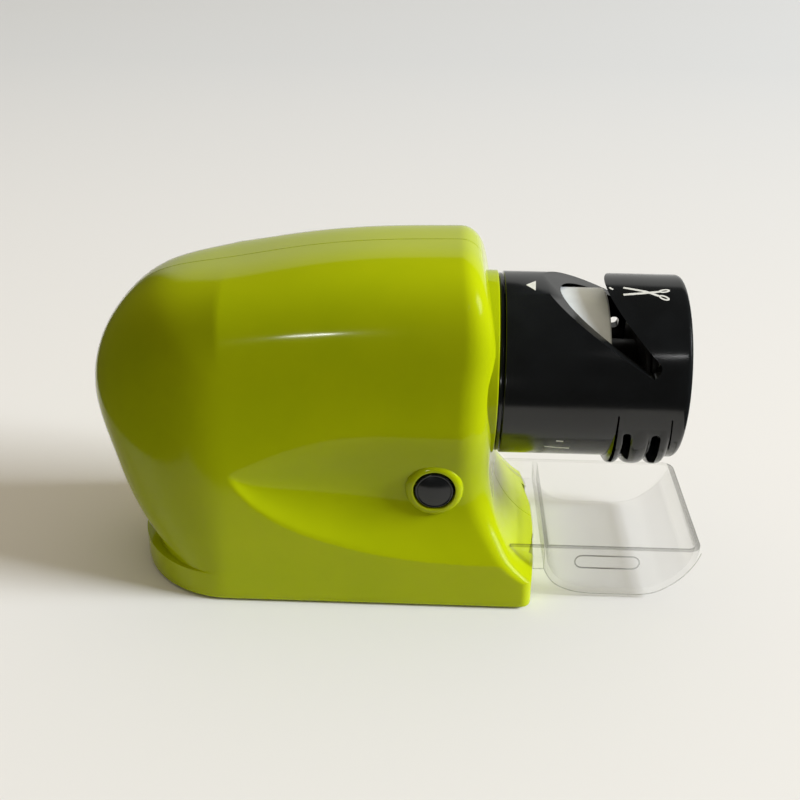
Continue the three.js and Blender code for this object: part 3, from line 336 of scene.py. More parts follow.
# a closed solid turned about an axis: outline points are (place along the axis, radius)
def turnedPiece(name, outline, axis, centre, sides):
    corners, faces = [], []
    for k in range(sides):
        angle = 2 * math.pi * k / sides
        for along, radius in outline:
            u, v = radius * math.cos(angle), radius * math.sin(angle)
            corner = {"x": (along, u, v), "y": (v, along, u), "z": (u, v, along)}[axis]
            corners.append(tuple(c + m for c, m in zip(corner, centre)))
    count = len(outline)
    closed = outline[0][1] > 0
    for k in range(sides):
        here, after = k * count, ((k + 1) % sides) * count
        for j in range(count if closed else count - 1):
            ahead = (j + 1) % count
            faces.append((here + j, here + ahead, after + ahead, after + j))
    return tidyMesh(newPiece(name, corners, faces))


def rodPiece(name, start, end, radius, axis, centre, sides):
    return turnedPiece(name, [(start, 0), (start, radius), (end, radius), (end, 0)], axis, centre, sides)


# rounds the corners of an outline; each point is (along, radius, rounding)
def roundedOutline(points, steps=5):
    outline = []
    for i, (a, r, rounding) in enumerate(points):
        if rounding <= 0:
            outline.append((a, r))
            continue
        here = Vector((a, r))
        before = Vector(points[i - 1][:2]) - here
        after = Vector(points[(i + 1) % len(points)][:2]) - here
        start, end = here + before.normalized() * rounding, here + after.normalized() * rounding
        for k in range(steps + 1):
            t = k / steps
            point = start * (1 - t) ** 2 + here * 2 * t * (1 - t) + end * t ** 2
            outline.append((point.x, point.y))
    return outline


# shape trees: sizes are inputs by name, and each ends in realized instances with their material

def startTree(name, sizes, without=()):
    tree = bpy.data.node_groups.new(name, "GeometryNodeTree")
    kinds = {"Geometry": "Geometry", **dict.fromkeys(sizes, "Float"), "Turn": "Vector", "Finish": "Material"}
    for label, kind in kinds.items():
        if label not in without:
            socket = tree.interface.new_socket(label, in_out="INPUT", socket_type="NodeSocket" + kind)
            if label in sizes:
                socket.default_value = sizes[label] * mm
    tree.interface.new_socket("Geometry", in_out="OUTPUT", socket_type="NodeSocketGeometry")
    return tree, addNode(tree, "NodeGroupInput").outputs


def endTree(tree, source, shape):
    real = made(tree, "GeometryNodeRealizeInstances", "Geometry", {"Geometry": shape})
    painted = made(tree, "GeometryNodeSetMaterial", "Geometry",
                   {"Geometry": real, "Material": source["Finish"]})
    addNode(tree, "NodeGroupOutput", {"Geometry": painted})
    return tree


def repeatShape(tree, source, shape):
    turn = made(tree, "FunctionNodeEulerToRotation", 0, {0: source["Turn"]})
    row = made(tree, "GeometryNodeInstanceOnPoints", "Instances",
               {"Points": source["Geometry"], "Instance": shape, "Rotation": turn})
    return endTree(tree, source, row)


def roundWire(tree, source, path, sides):
    wire = made(tree, "GeometryNodeCurvePrimitiveCircle", "Curve",
                {"Resolution": sides, "Radius": source["Wire Radius"]})
    return made(tree, "GeometryNodeCurveToMesh", "Mesh",
                {"Curve": path, "Profile Curve": wire, "Fill Caps": True})


# a rounded section swept round an axis
def ringTree():
    sizes = {"Middle Radius": 10, "Section Height": 2, "Section Length": 2, "Edge Radius": 0.2}
    tree, source = startTree("turnedRing", sizes, ("Geometry", "Turn"))
    circle = made(tree, "GeometryNodeCurvePrimitiveCircle", "Curve",
                  {"Resolution": 160, "Radius": source["Middle Radius"]})
    section = made(tree, "GeometryNodeCurvePrimitiveQuadrilateral", "Curve",
                   {"Width": source["Section Height"], "Height": source["Section Length"]})
    fillet = made(tree, "GeometryNodeFilletCurve", "Curve",
                  {"Curve": section, 1: 4, "Radius": source["Edge Radius"]}, mode="POLY")
    return endTree(tree, source, made(tree, "GeometryNodeCurveToMesh", "Mesh",
                                      {"Curve": circle, "Profile Curve": fillet}))


# a stud stands on its place: a round base, a narrower round top
def studTree():
    tree, source = startTree("stud", {"Base Radius": 4, "Top Radius": 4, "Height": 2})
    sizes = {"Radius Bottom": source["Base Radius"], "Radius Top": source["Top Radius"],
             "Depth": source["Height"]}
    return repeatShape(tree, source, made(tree, "GeometryNodeMeshCone", "Mesh", {"Vertices": 48, **sizes}))


# a screw: its head stands on its place, its shank goes down from it, and a cross is cut in the head
def screwTree():
    sizes = {"Head Radius": 2.9, "Crown Radius": 2.2, "Head Height": 2, "Shank Radius": 1.5,
             "Shank Length": 15, "Cross Long": 3.5, "Cross Short": 0.7, "Cross Depth": 1}
    tree, source = startTree("crossScrew", sizes)

    def lifted(shape, height):
        move = made(tree, "ShaderNodeCombineXYZ", "Vector", {"Z": height})
        return made(tree, "GeometryNodeTransform", "Geometry", {"Geometry": shape, "Translation": move})

    crown = made(tree, "GeometryNodeMeshCone", "Mesh",
                 {"Vertices": 32, "Radius Bottom": source["Head Radius"],
                  "Radius Top": source["Crown Radius"], "Depth": source["Head Height"]})
    shank = made(tree, "GeometryNodeMeshCylinder", "Mesh",
                 {"Vertices": 24, "Radius": source["Shank Radius"], "Depth": source["Shank Length"]})
    lower = lifted(shank, calculated(tree, "MULTIPLY", source["Shank Length"], -0.49))
    whole = addNode(tree, "GeometryNodeMeshBoolean", {"Mesh": crown}, operation="UNION")
    setInputs(tree, whole, {"Mesh": lower})
    cut = addNode(tree, "GeometryNodeMeshBoolean", {"Mesh 1": whole.outputs["Mesh"]}, operation="DIFFERENCE")
    twice = calculated(tree, "MULTIPLY", source["Cross Depth"], 2.0)
    for first, second in (("Cross Long", "Cross Short"), ("Cross Short", "Cross Long")):
        size = made(tree, "ShaderNodeCombineXYZ", "Vector",
                    {"X": source[first], "Y": source[second], "Z": twice})
        bar = made(tree, "GeometryNodeMeshCube", "Mesh", {"Size": size})
        setInputs(tree, cut, {"Mesh 2": lifted(bar, source["Head Height"])})
    return repeatShape(tree, source, cut.outputs["Mesh"])


# a coil of round wire that climbs from its place
def coilTree(turns):
    tree, source = startTree("wireCoil", {"Start Radius": 4.2, "End Radius": 1.8, "Length": 2,
                                          "Wire Radius": 0.45})
    sizes = {"Start Radius": source["Start Radius"], "End Radius": source["End Radius"],
             "Height": source["Length"]}
    spiral = made(tree, "GeometryNodeCurveSpiral", "Curve", {"Resolution": 20, "Rotations": turns, **sizes})
    return repeatShape(tree, source, roundWire(tree, source, spiral, 10))


# a wire that follows the edges of the object it is set on
def edgeTree():
    tree, source = startTree("edgeLine", {"Wire Radius": 0.15}, ("Turn",))
    path = made(tree, "GeometryNodeMeshToCurve", "Curve", {"Mesh": source["Geometry"]})
    return endTree(tree, source, roundWire(tree, source, path, 8))


# a block on each place of a row
def barTree():
    tree, source = startTree("barRow", {"Length": 10, "Width": 1, "Depth": 0.5})
    size = made(tree, "ShaderNodeCombineXYZ", "Vector",
                {"X": source["Width"], "Y": source["Length"], "Z": source["Depth"]})
    return repeatShape(tree, source, made(tree, "GeometryNodeMeshCube", "Mesh", {"Size": size}))


def growPiece(name, tree, places, sizes, material, turn=(0, 0, 0), edges=()):
    obj = newPiece(name, places, [], edges)
    modifier = obj.modifiers.new("grow", "NODES")
    modifier.node_group = tree
    values = {**{label: value * mm for label, value in sizes.items()}, "Turn": turn,
              "Finish": materials[material]}
    for item in tree.interface.items_tree:
        if item.item_type == "SOCKET" and item.in_out == "INPUT" and item.name in values:
            modifier[item.identifier] = values[item.name]
    bakeModifiers(obj)
    return tidyMesh(obj, 0.0005)


turnedRing, stud, crossScrew, edgeLine = ringTree(), studTree(), screwTree(), edgeTree()


# housing: an arch that shrinks round the rear end, over flanks that run down to the foot

housing = {
    "rearX": -83.9, "faceX": 24.6, "footX": 36.55, "footBulge": 1.95, "height": 93.8,
    "baseHalf": 31.5, "shoulderHalf": 28.0, "shoulderZ": 63.5, "coreX": -45.0,
    "plinthX": -72.9, "plinthZ": 8.2, "plinthSoft": 0.3, "levels": (3.0, 5.5), "wall": 2.2, "floorThick": 2.0,
    "baseLift": 0.5, "edgeRadius": 8.5, "crownRadius": 4.6, "footRadius": 2.5, "hemRadius": 0.7,
    "leanBack": 4.7, "leanStartZ": 70.0, "leanPower": 1.5,
    "flareDepth": 22.5, "flareHeight": 30.0, "flareTopZ": 38.0, "flareSideDrop": 3.5,
    "seamHalf": 0.22, "seamDepth": 0.4, "archPower": 0.585,
}
profileShares = [(0.132, 0.1), (0.07, 0.22), (0.03, 0.363), (0.0, 0.521), (0.018, 0.668), (0.078, 0.792),
                 (0.18, 0.887), (0.339, 0.928), (0.517, 0.966), (0.718, 0.992), (0.952, 1.0)]
recess = {"tipX": -43.0, "tipZ": 38.0, "depth": 4.4, "riseRun": 40.0, "rise": 13.5, "drop": 24.5,
          "risePower": 0.9, "fallPower": 0.6, "deepRun": 42.0, "deepPower": 0.8, "valleyShare": 0.42,
          "anchors": (24.0, 31.0, 50.0), "blendRun": 12.0}
skinSteps = {"crown": 26, "corner": 22, "length": 72, "edge": 7, "face": 10, "rise": 60, "hem": 3}


# a smooth curve with even bending through the points
def smoothCurve(points, perSpan=40):
    p = np.array(points, dtype=float)
    n = len(p)
    rows = np.zeros((n, n))
    right = np.zeros((n, 2))
    rows[0, 0], rows[-1, -1] = 1, 1
    for i in range(1, n - 1):
        rows[i, i - 1:i + 2] = (1, 4, 1)
        right[i] = 6 * (p[i + 1] - 2 * p[i] + p[i - 1])
    bend = np.linalg.solve(rows, right)
    result = []
    for i in range(n - 1):
        for t in np.linspace(0, 1, perSpan, endpoint=i == n - 2):
            s = 1 - t
            result.append(s * p[i] + t * p[i + 1] + ((s ** 3 - s) * bend[i] + (t ** 3 - t) * bend[i + 1]) / 6)
    return np.array(result)


bodyLength = housing["faceX"] - housing["rearX"]
profile = smoothCurve([(housing["rearX"] + a * bodyLength, b * housing["height"]) for a, b in profileShares])
shoulderZ, coreX = housing["shoulderZ"], housing["coreX"]
lowerPart = profile[profile[:, 1] <= shoulderZ + 1]
upperPart = profile[profile[:, 1] >= shoulderZ - 1]
polarAngle = np.unwrap(np.arctan2(upperPart[:, 1] - shoulderZ, upperPart[:, 0] - coreX) % (2 * math.pi))
polarReach = np.hypot(upperPart[:, 1] - shoulderZ, upperPart[:, 0] - coreX)


def rearAt(z):
    if z <= housing["plinthZ"]:
        return housing["plinthX"]
    return float(np.interp(z, lowerPart[:, 1], lowerPart[:, 0]))


def crownAt(x):
    return float(np.interp(x, upperPart[:, 0], upperPart[:, 1]))


def cornerReach(angle):
    return float(np.interp(angle, polarAngle[::-1], polarReach[::-1]))


def halfWidthAt(z):
    t = clamp(z / shoulderZ)
    return housing["baseHalf"] - (housing["baseHalf"] - housing["shoulderHalf"]) * t * t * (3 - 2 * t)


def frontAt(z, across):
    lean = clamp((z - housing["leanStartZ"]) / (housing["height"] - housing["leanStartZ"]))
    drop = housing["flareSideDrop"] * across ** 2
    t = clamp((housing["flareTopZ"] - drop - z) / housing["flareHeight"])
    flared = housing["faceX"] + housing["flareDepth"] * (1 - math.sqrt(1 - t * t))
    flared -= housing["leanBack"] * lean ** housing["leanPower"]
    return min(flared, housing["footX"] + housing["footBulge"] * (1 - across ** 2))


def roundingAt(z):
    up = clamp((z - shoulderZ) / (housing["height"] - shoulderZ))
    if up > 0:
        return mix(housing["edgeRadius"], housing["crownRadius"], up)
    share = clamp((z - housing["plinthZ"]) / housing["flareHeight"])
    return mix(housing["footRadius"], housing["edgeRadius"], share)


def hemInset(z, lowZ):
    radius = housing["hemRadius"]
    gap = clamp(radius - (z - lowZ), 0, radius)
    return radius - math.sqrt(radius ** 2 - gap ** 2)


def recessEdges(x):
    rising = clamp((x - recess["tipX"]) / recess["riseRun"]) ** recess["risePower"]
    falling = clamp((x - recess["tipX"]) / (housing["faceX"] - recess["tipX"])) ** recess["fallPower"]
    upper = recess["tipZ"] + recess["rise"] * math.sin(quarter * rising)
    lower = recess["tipZ"] - recess["drop"] * math.sin(quarter * falling)
    return lower, mix(lower, upper, recess["valleyShare"]), upper


# moves a level so that the rows of points follow the edges of the recess
def bentLevel(z, x):
    if z <= housing["plinthZ"] or z >= shoulderZ:
        return z
    blend = clamp((x - coreX) / recess["blendRun"])
    edges = [mix(anchor, edge, blend) for anchor, edge in zip(recess["anchors"], recessEdges(x))]
    ends = housing["plinthZ"], shoulderZ
    return float(np.interp(z, [ends[0], *recess["anchors"], ends[1]], [ends[0], *edges, ends[1]]))


def recessAt(x, z):
    along = x - recess["tipX"]
    lower, valley, upper = recessEdges(x)
    t = (z - lower) / max(upper - lower, 0.001)
    if along <= 0 or t <= 0 or t >= 1:
        return 0.0
    deep = recess["depth"] * math.sin(quarter * clamp(along / recess["deepRun"]) ** recess["deepPower"])
    share = recess["valleyShare"]
    if t < share:
        return deep * math.sin(quarter * t / share)
    return deep * (1 + math.cos(math.pi * (t - share) / (1 - share))) / 2


# shares of the arch's rise and half width, from the seam out to the shoulder
def archShares(power):
    turns = [quarter * j / skinSteps["crown"] for j in range(skinSteps["crown"] + 1)]
    turns.insert(1, math.asin((housing["seamHalf"] / housing["shoulderHalf"]) ** (1 / power)))
    return [(abs(math.cos(turn)) ** power, math.sin(turn) ** power) for turn in turns]


# one side of the form, at y >= 0: rows of points round the rear end, then rows along the body to the front
def housingSkin(inset, lowZ, seamDepth=0.0):
    steps, plinthZ, soft, hem = skinSteps, housing["plinthZ"], housing["plinthSoft"], housing["hemRadius"]
    levels = [lowZ + hem * (1 - math.cos(quarter * k / steps["hem"])) for k in range(steps["hem"])]
    levels += [lowZ + hem, *housing["levels"], plinthZ - soft, plinthZ, plinthZ + soft]
    levels = sorted({z for z in levels if z >= lowZ})
    start = levels[-1]
    levels += [start + (shoulderZ - start) * k / steps["rise"] for k in range(1, steps["rise"] + 1)]
    oval, flat = archShares(1.0), archShares(housing["archPower"])

    def half(z):
        return halfWidthAt(z) - inset - hemInset(z, lowZ)

    def pull(index):
        return 0.0 if index else seamDepth

    spanHalf = half(shoulderZ)
    rear = []
    for z in levels:
        row = []
        for j, (up, out) in enumerate(oval):
            reach = rearAt(z) + inset + hemInset(z, lowZ) + pull(j) - coreX
            row.append((coreX + reach * up, half(z) * out, z))
        rear.append(row)
    for c in range(1, steps["corner"] + 1):
        angle = math.pi - quarter * c / steps["corner"]
        row = []
        for j, (up, out) in enumerate(archShares(mix(1.0, housing["archPower"], c / steps["corner"]))):
            reach = (cornerReach(angle) - inset - pull(j)) * up
            row.append((coreX + reach * math.cos(angle), spanHalf * out, shoulderZ + reach * math.sin(angle)))
        rear.append(row)

    def startX(z):
        return frontAt(z, 1) - inset - roundingAt(z) - hemInset(z, lowZ)

    body = []
    for i in range(steps["length"] + 1):
        share = i / steps["length"]
        rise = crownAt(coreX + share * (startX(housing["height"]) - coreX)) - inset - shoulderZ
        row = list(rear[-1]) if i == 0 else []
        for j, (up, out) in enumerate(flat if i else []):
            z = shoulderZ + (rise - pull(j)) * up
            row.append((coreX + share * (startX(z) - coreX), spanHalf * out, z))
        for level in reversed(levels[:-1]):
            z = bentLevel(level, coreX + share * (housing["faceX"] - coreX))
            x = coreX + share * (startX(z) - coreX)
            row.append((x, half(z) - recessAt(x, z), z))
        body.append(row)
    endRise = crownAt(startX(housing["height"])) - inset - shoulderZ
    for m in range(1, steps["edge"] + 1):
        angle = quarter * m / steps["edge"]
        row = []
        for j, (up, out) in enumerate(flat):
            radius = roundingAt(shoulderZ + endRise * up)
            inward = radius * (1 - math.cos(angle))
            z = shoulderZ + (endRise - inward - pull(j) * math.cos(angle)) * up
            x = frontAt(z, 1) - inset - radius * (1 - math.sin(angle)) - pull(j) * math.sin(angle)
            row.append((x, (spanHalf - inward) * out, z))
        for level in reversed(levels[:-1]):
            z = bentLevel(level, housing["faceX"])
            y = half(z) - recessAt(startX(z), z) - roundingAt(z) * (1 - math.cos(angle))
            x = frontAt(z, y / half(z)) - inset - hemInset(z, lowZ) - roundingAt(z) * (1 - math.sin(angle))
            row.append((x, y, z))
        body.append(row)
    rim = body[-1]
    shares = [1 - m / steps["face"] for m in range(1, steps["face"] + 1)]
    shares.insert(-1, housing["seamHalf"] / spanHalf)
    for share in shares:
        row = []
        for x, y, z in rim:
            height = shoulderZ + (z - shoulderZ) * share if z > shoulderZ else z
            deep = inset + hemInset(height, lowZ) + (0.0 if share else seamDepth)
            row.append((frontAt(height, y * share / half(height)) - deep, y * share, height))
        body.append(row)
    return rear, body


# a closed half shell between an outer and an inner skin, or a solid half where there is no inner one
def halfShell(name, side, outer, inner=None):
    corners, faces = [], []

    def addGrid(grid, flip):
        start, width = len(corners), len(grid[0])
        corners.extend((x, side * y, z) for row in grid for x, y, z in row)
        for f in range(len(grid) - 1):
            for g in range(width - 1):
                a = start + f * width + g
                quad = (a, a + 1, a + width + 1, a + width)
                faces.append(quad[::-1] if flip else quad)

    lines, unders = [], []
    for skin, flip in ((outer, side > 0), (inner, side < 0)):
        if skin is None:
            continue
        rear, body = skin
        hem = [row[-1] for row in body][::-1] + list(rear[0])[::-1]
        unders.append([(x, 0.0, z) for x, y, z in hem])
        lines.append([row[0] for row in rear] + [row[0] for row in body[1:]] + list(body[-1][1:]))
        for grid in (rear, body, [hem, unders[-1]]):
            addGrid(grid, flip)
    if inner is not None:
        addGrid(lines, side > 0)
        addGrid(unders, side > 0)
    obj = newPiece(name, corners, faces)
    return editMesh(obj, mergeWithin(0.0005), *([] if inner else [fillHoles]), splitFaces, faceOut)


head = {"z": 59.2, "collarRadius": 24.8, "collarFrontX": 25.5, "collarRound": 0.35, "bore": 22.9,
        "boreRound": 0.25, "boreX": (-3, 40), "sides": 128, "halfBox": ((0, 0), (60, 110)), "halfReach": 40.0}
headCentre = (0, 0, head["z"])
floorTop = housing["baseLift"] + housing["floorThick"]
innerFaceX = housing["faceX"] - housing["wall"]
doorOpening = {"low": (-63.0, -17.95), "high": (-2.7, 17.95), "over": 0.3}
tongue = {"y": 14.0, "half": 4.5, "gap": 0.4, "lowZ": 7.9, "highZ": 10.2, "fromX": 24.5, "past": 6.0,
          "thick": 1.5}
footPad = {"rearX": -50.0, "frontX": 24.0, "y": 23.6, "radius": 4.6, "recess": 1.3, "gap": 0.3}
screwPlaces = [(-66.0, 26.0), (-57.0, 66.0), (-24.0, 79.0), (13.2, 85.6), (19.5, 12.0)]
screwBoss = {"radius": 4.3, "hole": 1.85, "well": 3.4, "seatY": 5.5, "depth": 10.7, "outY": 40, "past": 1}
buttonPlace = {"x": 10.0, "z": 33.8, "hole": 5.5, "cutY": (-50, -12)}
supportRibs = {"rearX": -9.0, "frontX": 14.6, "thick": 2.2, "lowZ": 41.0, "hole": 14.15, "holeEndX": 20.0}
overrun = 4.0


def makeShell(name, side, node):
    outer = housingSkin(0, housing["baseLift"], housing["seamDepth"])
    shell = halfShell(name, side, outer, housingSkin(housing["wall"], floorTop))
    middleFloor = housing["baseLift"] + housing["floorThick"] / 2
    middle = halfShell("middle", side, housingSkin(housing["wall"] / 2, middleFloor))

    # screw bosses and the two plates that hold the motor, cut to the inside of the wall
    out = side * housing["baseHalf"]
    additions = [rodPiece("boss", 0.0, out, screwBoss["radius"], "y", (x, 0, z), 32) for x, z in screwPlaces]
    low, high = sorted((0.0, out))
    for x in (supportRibs["rearX"], supportRibs["frontX"]):
        endX = x + supportRibs["thick"]
        additions.append(blockPiece("rib", (x, low, supportRibs["lowZ"]), (endX, high, housing["height"])))
    plates = combine(joinTools("plates", additions), middle, "INTERSECT")
    combine(plates, rodPiece("motorHole", supportRibs["rearX"] - overrun, supportRibs["holeEndX"],
                             supportRibs["hole"], "x", headCentre, 64))
    combine(shell, plates, "UNION")

    outline = [(innerFaceX, head["bore"], 0), (innerFaceX, head["collarRadius"], 0),
               (head["collarFrontX"], head["collarRadius"], head["collarRound"]),
               (head["collarFrontX"], head["bore"], head["boreRound"])]
    collar = turnedPiece("collar", roundedOutline(outline), "x", headCentre, head["sides"])
    low, high = sorted((0.0, side * head["halfReach"]))
    (lowX, lowZ), (highX, highZ) = head["halfBox"]
    combine(collar, blockPiece("half", (lowX, low, lowZ), (highX, high, highZ)), "INTERSECT")
    combine(shell, collar, "UNION")
    back, front = head["boreX"]
    combine(shell, rodPiece("bore", innerFaceX + back, front, head["bore"], "x", headCentre, head["sides"]))

    doorway = doorOpening["low"], doorOpening["high"]
    tools = [blockPiece("doorway", (*doorway[0], -overrun), (*doorway[1], floorTop + doorOpening["over"]))]
    lowY = side * tongue["y"] - tongue["half"] - tongue["gap"]
    highY = side * tongue["y"] + tongue["half"] + tongue["gap"]
    tools.append(blockPiece("slot", (tongue["fromX"], lowY, tongue["lowZ"]),
                            (housing["footX"] + tongue["past"], highY, tongue["highZ"])))
    radius, top = footPad["radius"] + footPad["gap"], housing["baseLift"] + footPad["recess"]
    for x in (footPad["rearX"], footPad["frontX"]):
        tools.append(rodPiece("pocket", -overrun, top, radius, "z", (x, side * footPad["y"], 0), 48))
    hole, well, past = screwBoss["hole"], screwBoss["well"], screwBoss["past"]
    for x, z in screwPlaces:
        if side > 0:
            outline = [(-past, 0), (-past, hole), (screwBoss["seatY"], hole), (screwBoss["seatY"], well),
                       (screwBoss["outY"], well), (screwBoss["outY"], 0)]
            tools.append(turnedPiece("screwHole", outline, "y", (x, 0, z), 40))
        else:
            tools.append(rodPiece("screwHole", -screwBoss["depth"], past, hole, "y", (x, 0, z), 40))
    if side < 0:
        tools.append(rodPiece("buttonHole", *buttonPlace["cutY"], buttonPlace["hole"], "y",
                              (buttonPlace["x"], 0, buttonPlace["z"]), 64))
    combine(shell, joinTools("cuts", tools))
    return finishPiece(shell, "limePlastic", "base", [node], smoothAngle=32)


nearShell = makeShell("housingNear", -1, "housing_near")
farShell = makeShell("housingFar", 1, "housing_far")
print("housing:", len(nearShell.data.polygons) + len(farShell.data.polygons), "faces")


# button with its raised ring

buttonSpec = {"faceY": -27.3, "ringRadius": 7.65, "ringBackY": -21.1, "ringRound": 2.0, "holeRound": 0.5,
              "radius": 5.05, "domeShare": 0.86, "domeHeight": 0.55, "domeSteps": 8, "rimShare": 0.88,
              "rimDip": 0.05, "rimTop": 0.1, "rimSoft": 0.3, "rimRound": 0.6, "flange": 6.6, "flangeY": -20.8,
              "flangeThick": 1.1, "stem": 2.0, "stemEndY": -16.1}


def makeButton(spec):
    centre = (buttonPlace["x"], 0, buttonPlace["z"])
    face, radius, flangeY = spec["faceY"], spec["radius"], spec["flangeY"]
    hole = buttonPlace["hole"]
    ring = roundedOutline([(spec["ringBackY"], hole, 0), (spec["ringBackY"], spec["ringRadius"], 0),
                           (face, spec["ringRadius"], spec["ringRound"]), (face, hole, spec["holeRound"])], 8)
    finishPiece(turnedPiece("buttonRing", ring, "y", centre, 96), "limePlastic", "base")
    steps = spec["domeSteps"]
    dome = [(face - spec["domeHeight"] * (1 - (k / steps) ** 2), radius * spec["domeShare"] * k / steps)
            for k in range(steps + 1)]
    rim = roundedOutline([(face + spec["rimDip"], radius * spec["rimShare"], spec["rimSoft"]),
                          (face - spec["rimTop"], radius, spec["rimRound"]), (flangeY, radius, 0)], 6)
    backY = flangeY + spec["flangeThick"]
    rest = [(flangeY, spec["flange"]), (backY, spec["flange"]), (backY, spec["stem"]),
            (spec["stemEndY"], spec["stem"]), (spec["stemEndY"], 0)]
    finishPiece(turnedPiece("powerButton", dome + rim[1:] + rest, "y", centre, 96), "blackGloss", "button",
                ["power_button"])


makeButton(buttonSpec)


# seat ring and guide cap

seatRing = {"bore": 18.6, "sleeve": 22.5, "spigot": 21.2, "flange": 24.1, "tailX": 19.0,
            "flangeX": (25.8, 26.7), "noseX": 31.4, "rounds": (0.2, 0.25, 0.4)}
cap = {"radius": 24.6, "bore": 21.6, "rearX": 27.0, "frontX": 74.1, "innerFrontX": 72.2, "edge": 1.6,
       "rearEdge": 0.35, "innerRound": 1.0, "openBy": 5, "bossRadius": 6.6, "bossBore": 4.5, "bossX": 69.4,
       "bossRoot": 0.8, "sides": 224}
channel = {"floorX": 36.8, "lipX": 53.0, "floorSlope": 0.596, "lipSlope": 0.951, "floorTwist": 0.067,
           "lipTwist": 0.102, "endX": 63.9, "endLean": 0.4, "endBulge": 0.5, "endSteps": 12, "reach": 31.0}
lips = {"spans": ((55.3, 59.2), (59.7, 66.1), (66.3, 71.0)), "height": 2.1, "bury": 1.2, "radius": 22.0,
        "towardDeg": 160.0, "sidePower": 0.8, "topPower": 0.75}
slotReach = {"in": 3, "out": 5}
slits = ({"x": (59.3, 60.2), "width": (2.2, 2.1), "deg": (112, 142)},
         {"x": (66.8, 67.3), "width": (2.3, 2.4), "deg": (113, 147)},
         {"x": (60.1, 60.1), "width": (2.8, 2.8), "deg": (-85, -75.5)})
grooves = ({"x": (56.4, 56.7), "width": (0.45, 0.9), "deg": (98, 146)},
           {"x": (70.0, 71.0), "width": (0.4, 0.4), "deg": (100, 129)})


def makeSeatRing(spec):
    f0, f1 = spec["flangeX"]
    fine, middle, wide = spec["rounds"]
    outline = [(spec["tailX"], spec["bore"], 0), (spec["tailX"], spec["sleeve"], fine),
               (f0, spec["sleeve"], 0), (f0, spec["flange"], middle), (f1, spec["flange"], middle),
               (f1, spec["spigot"], 0), (spec["noseX"], spec["spigot"], wide),
               (spec["noseX"], spec["bore"], 0)]
    obj = turnedPiece("seatRing", roundedOutline(outline, 3), "x", headCentre, 160)
    finishPiece(obj, "blackGloss", "base", ["cap_seat_ring"])


def onCap(x, degrees, radius):
    angle = math.radians(degrees)
    return (x, -radius * math.sin(angle), head["z"] + radius * math.cos(angle))


def channelTool(spec):
    top = head["z"] + cap["radius"]
    high = top + overrun
    backX = spec["floorX"] - 2 * overrun

    def section(y):
        def floorZ(x):
            return top - spec["floorSlope"] * (x - spec["floorX"]) + spec["floorTwist"] * y

        def lipZ(x):
            return top - spec["lipSlope"] * (x - spec["lipX"]) + spec["lipTwist"] * y

        low = Vector((spec["endX"], floorZ(spec["endX"])))
        end = Vector((spec["endX"] + (lipZ(spec["endX"]) - low.y) * spec["endLean"], 0))
        end.y = lipZ(end.x)
        outward = Vector(((end - low).y, -(end - low).x)).normalized()
        bulge = outward * ((end - low).length / 2) * spec["endBulge"]
        points = [(backX, high), (backX, floorZ(backX))]
        for k in range(spec["endSteps"] + 1):
            angle = math.pi * k / spec["endSteps"]
            points.append(tuple((low + end) / 2 + (low - end) / 2 * math.cos(angle)
                                + bulge * math.sin(angle)))
        points.append((spec["lipX"] + (top + spec["lipTwist"] * y - high) / spec["lipSlope"], high))
        return [(x, y, z) for x, z in points]

    return editMesh(prism("channel", section(-spec["reach"]), section(spec["reach"])), splitFaces)


# a slot round the cap with round ends: its middle line may lean and its width may change
def slotTool(spec, steps=20, turns=8):
    (x0, x1), (w0, w1), (start, end) = spec["x"], spec["width"], spec["deg"]
    degPerMm = 360 / (2 * math.pi * cap["radius"])
    round0, round1 = w0 / 2 * degPerMm, w1 / 2 * degPerMm
    t0, t1 = round0 / (end - start), 1 - round1 / (end - start)

    def edge(t, sign):
        return (mix(x0, x1, t) + sign * mix(w0, w1, t) / 2, mix(start, end, t))

    arc = [math.pi * k / turns for k in range(1, turns)]
    outline = [edge(mix(t0, t1, k / steps), 1) for k in range(steps + 1)]
    outline += [(x1 + w1 / 2 * math.cos(a), mix(start, end, t1) + round1 * math.sin(a)) for a in arc]
    outline += [edge(mix(t1, t0, k / steps), -1) for k in range(steps + 1)]
    outline += [(x0 - w0 / 2 * math.cos(a), mix(start, end, t0) - round0 * math.sin(a)) for a in arc]
    count, half = len(outline), steps + 1
    reaches = (cap["bore"] - slotReach["in"], cap["radius"] + slotReach["out"])

    # strips across the slot, then a fan at each round end
    def closeEnds(work):
        work.verts.ensure_lookup_table()
        for base in (0, count):
            right = [work.verts[base + i] for i in range(half)]
            left = [work.verts[base + half + turns - 1 + i] for i in range(half)][::-1]
            for i in range(steps):
                work.faces.new((right[i], right[i + 1], left[i + 1], left[i]))
            for first in (half - 1, 2 * half + turns - 2):
                work.faces.new([work.verts[base + (first + i) % count] for i in range(turns + 1)])

    corners = [onCap(x, degrees, radius) for radius in reaches for x, degrees in outline]
    return editMesh(newPiece("slot", corners, sideFaces(count)), closeEnds, splitFaces, faceOut)


def lipPiece(span, steps=14):
    toward = math.radians(lips["towardDeg"])
    offset = cap["radius"] + lips["height"] - lips["radius"]
    centre = (0, -offset * math.sin(toward), head["z"] + offset * math.cos(toward))
    middle, half = sum(span) / 2, (span[1] - span[0]) / 2
    bulge = lips["height"] + lips["bury"]
    outline = [(span[0], 0)]
    for k in range(steps + 1):
        angle = math.pi * k / steps
        across = math.copysign(abs(math.cos(angle)) ** lips["sidePower"], math.cos(angle))
        outline.append((middle - half * across, lips["radius"] - bulge
                        + bulge * math.sin(angle) ** lips["topPower"]))
    return turnedPiece("lip", [*outline, (span[1], 0)], "x", centre, cap["sides"])


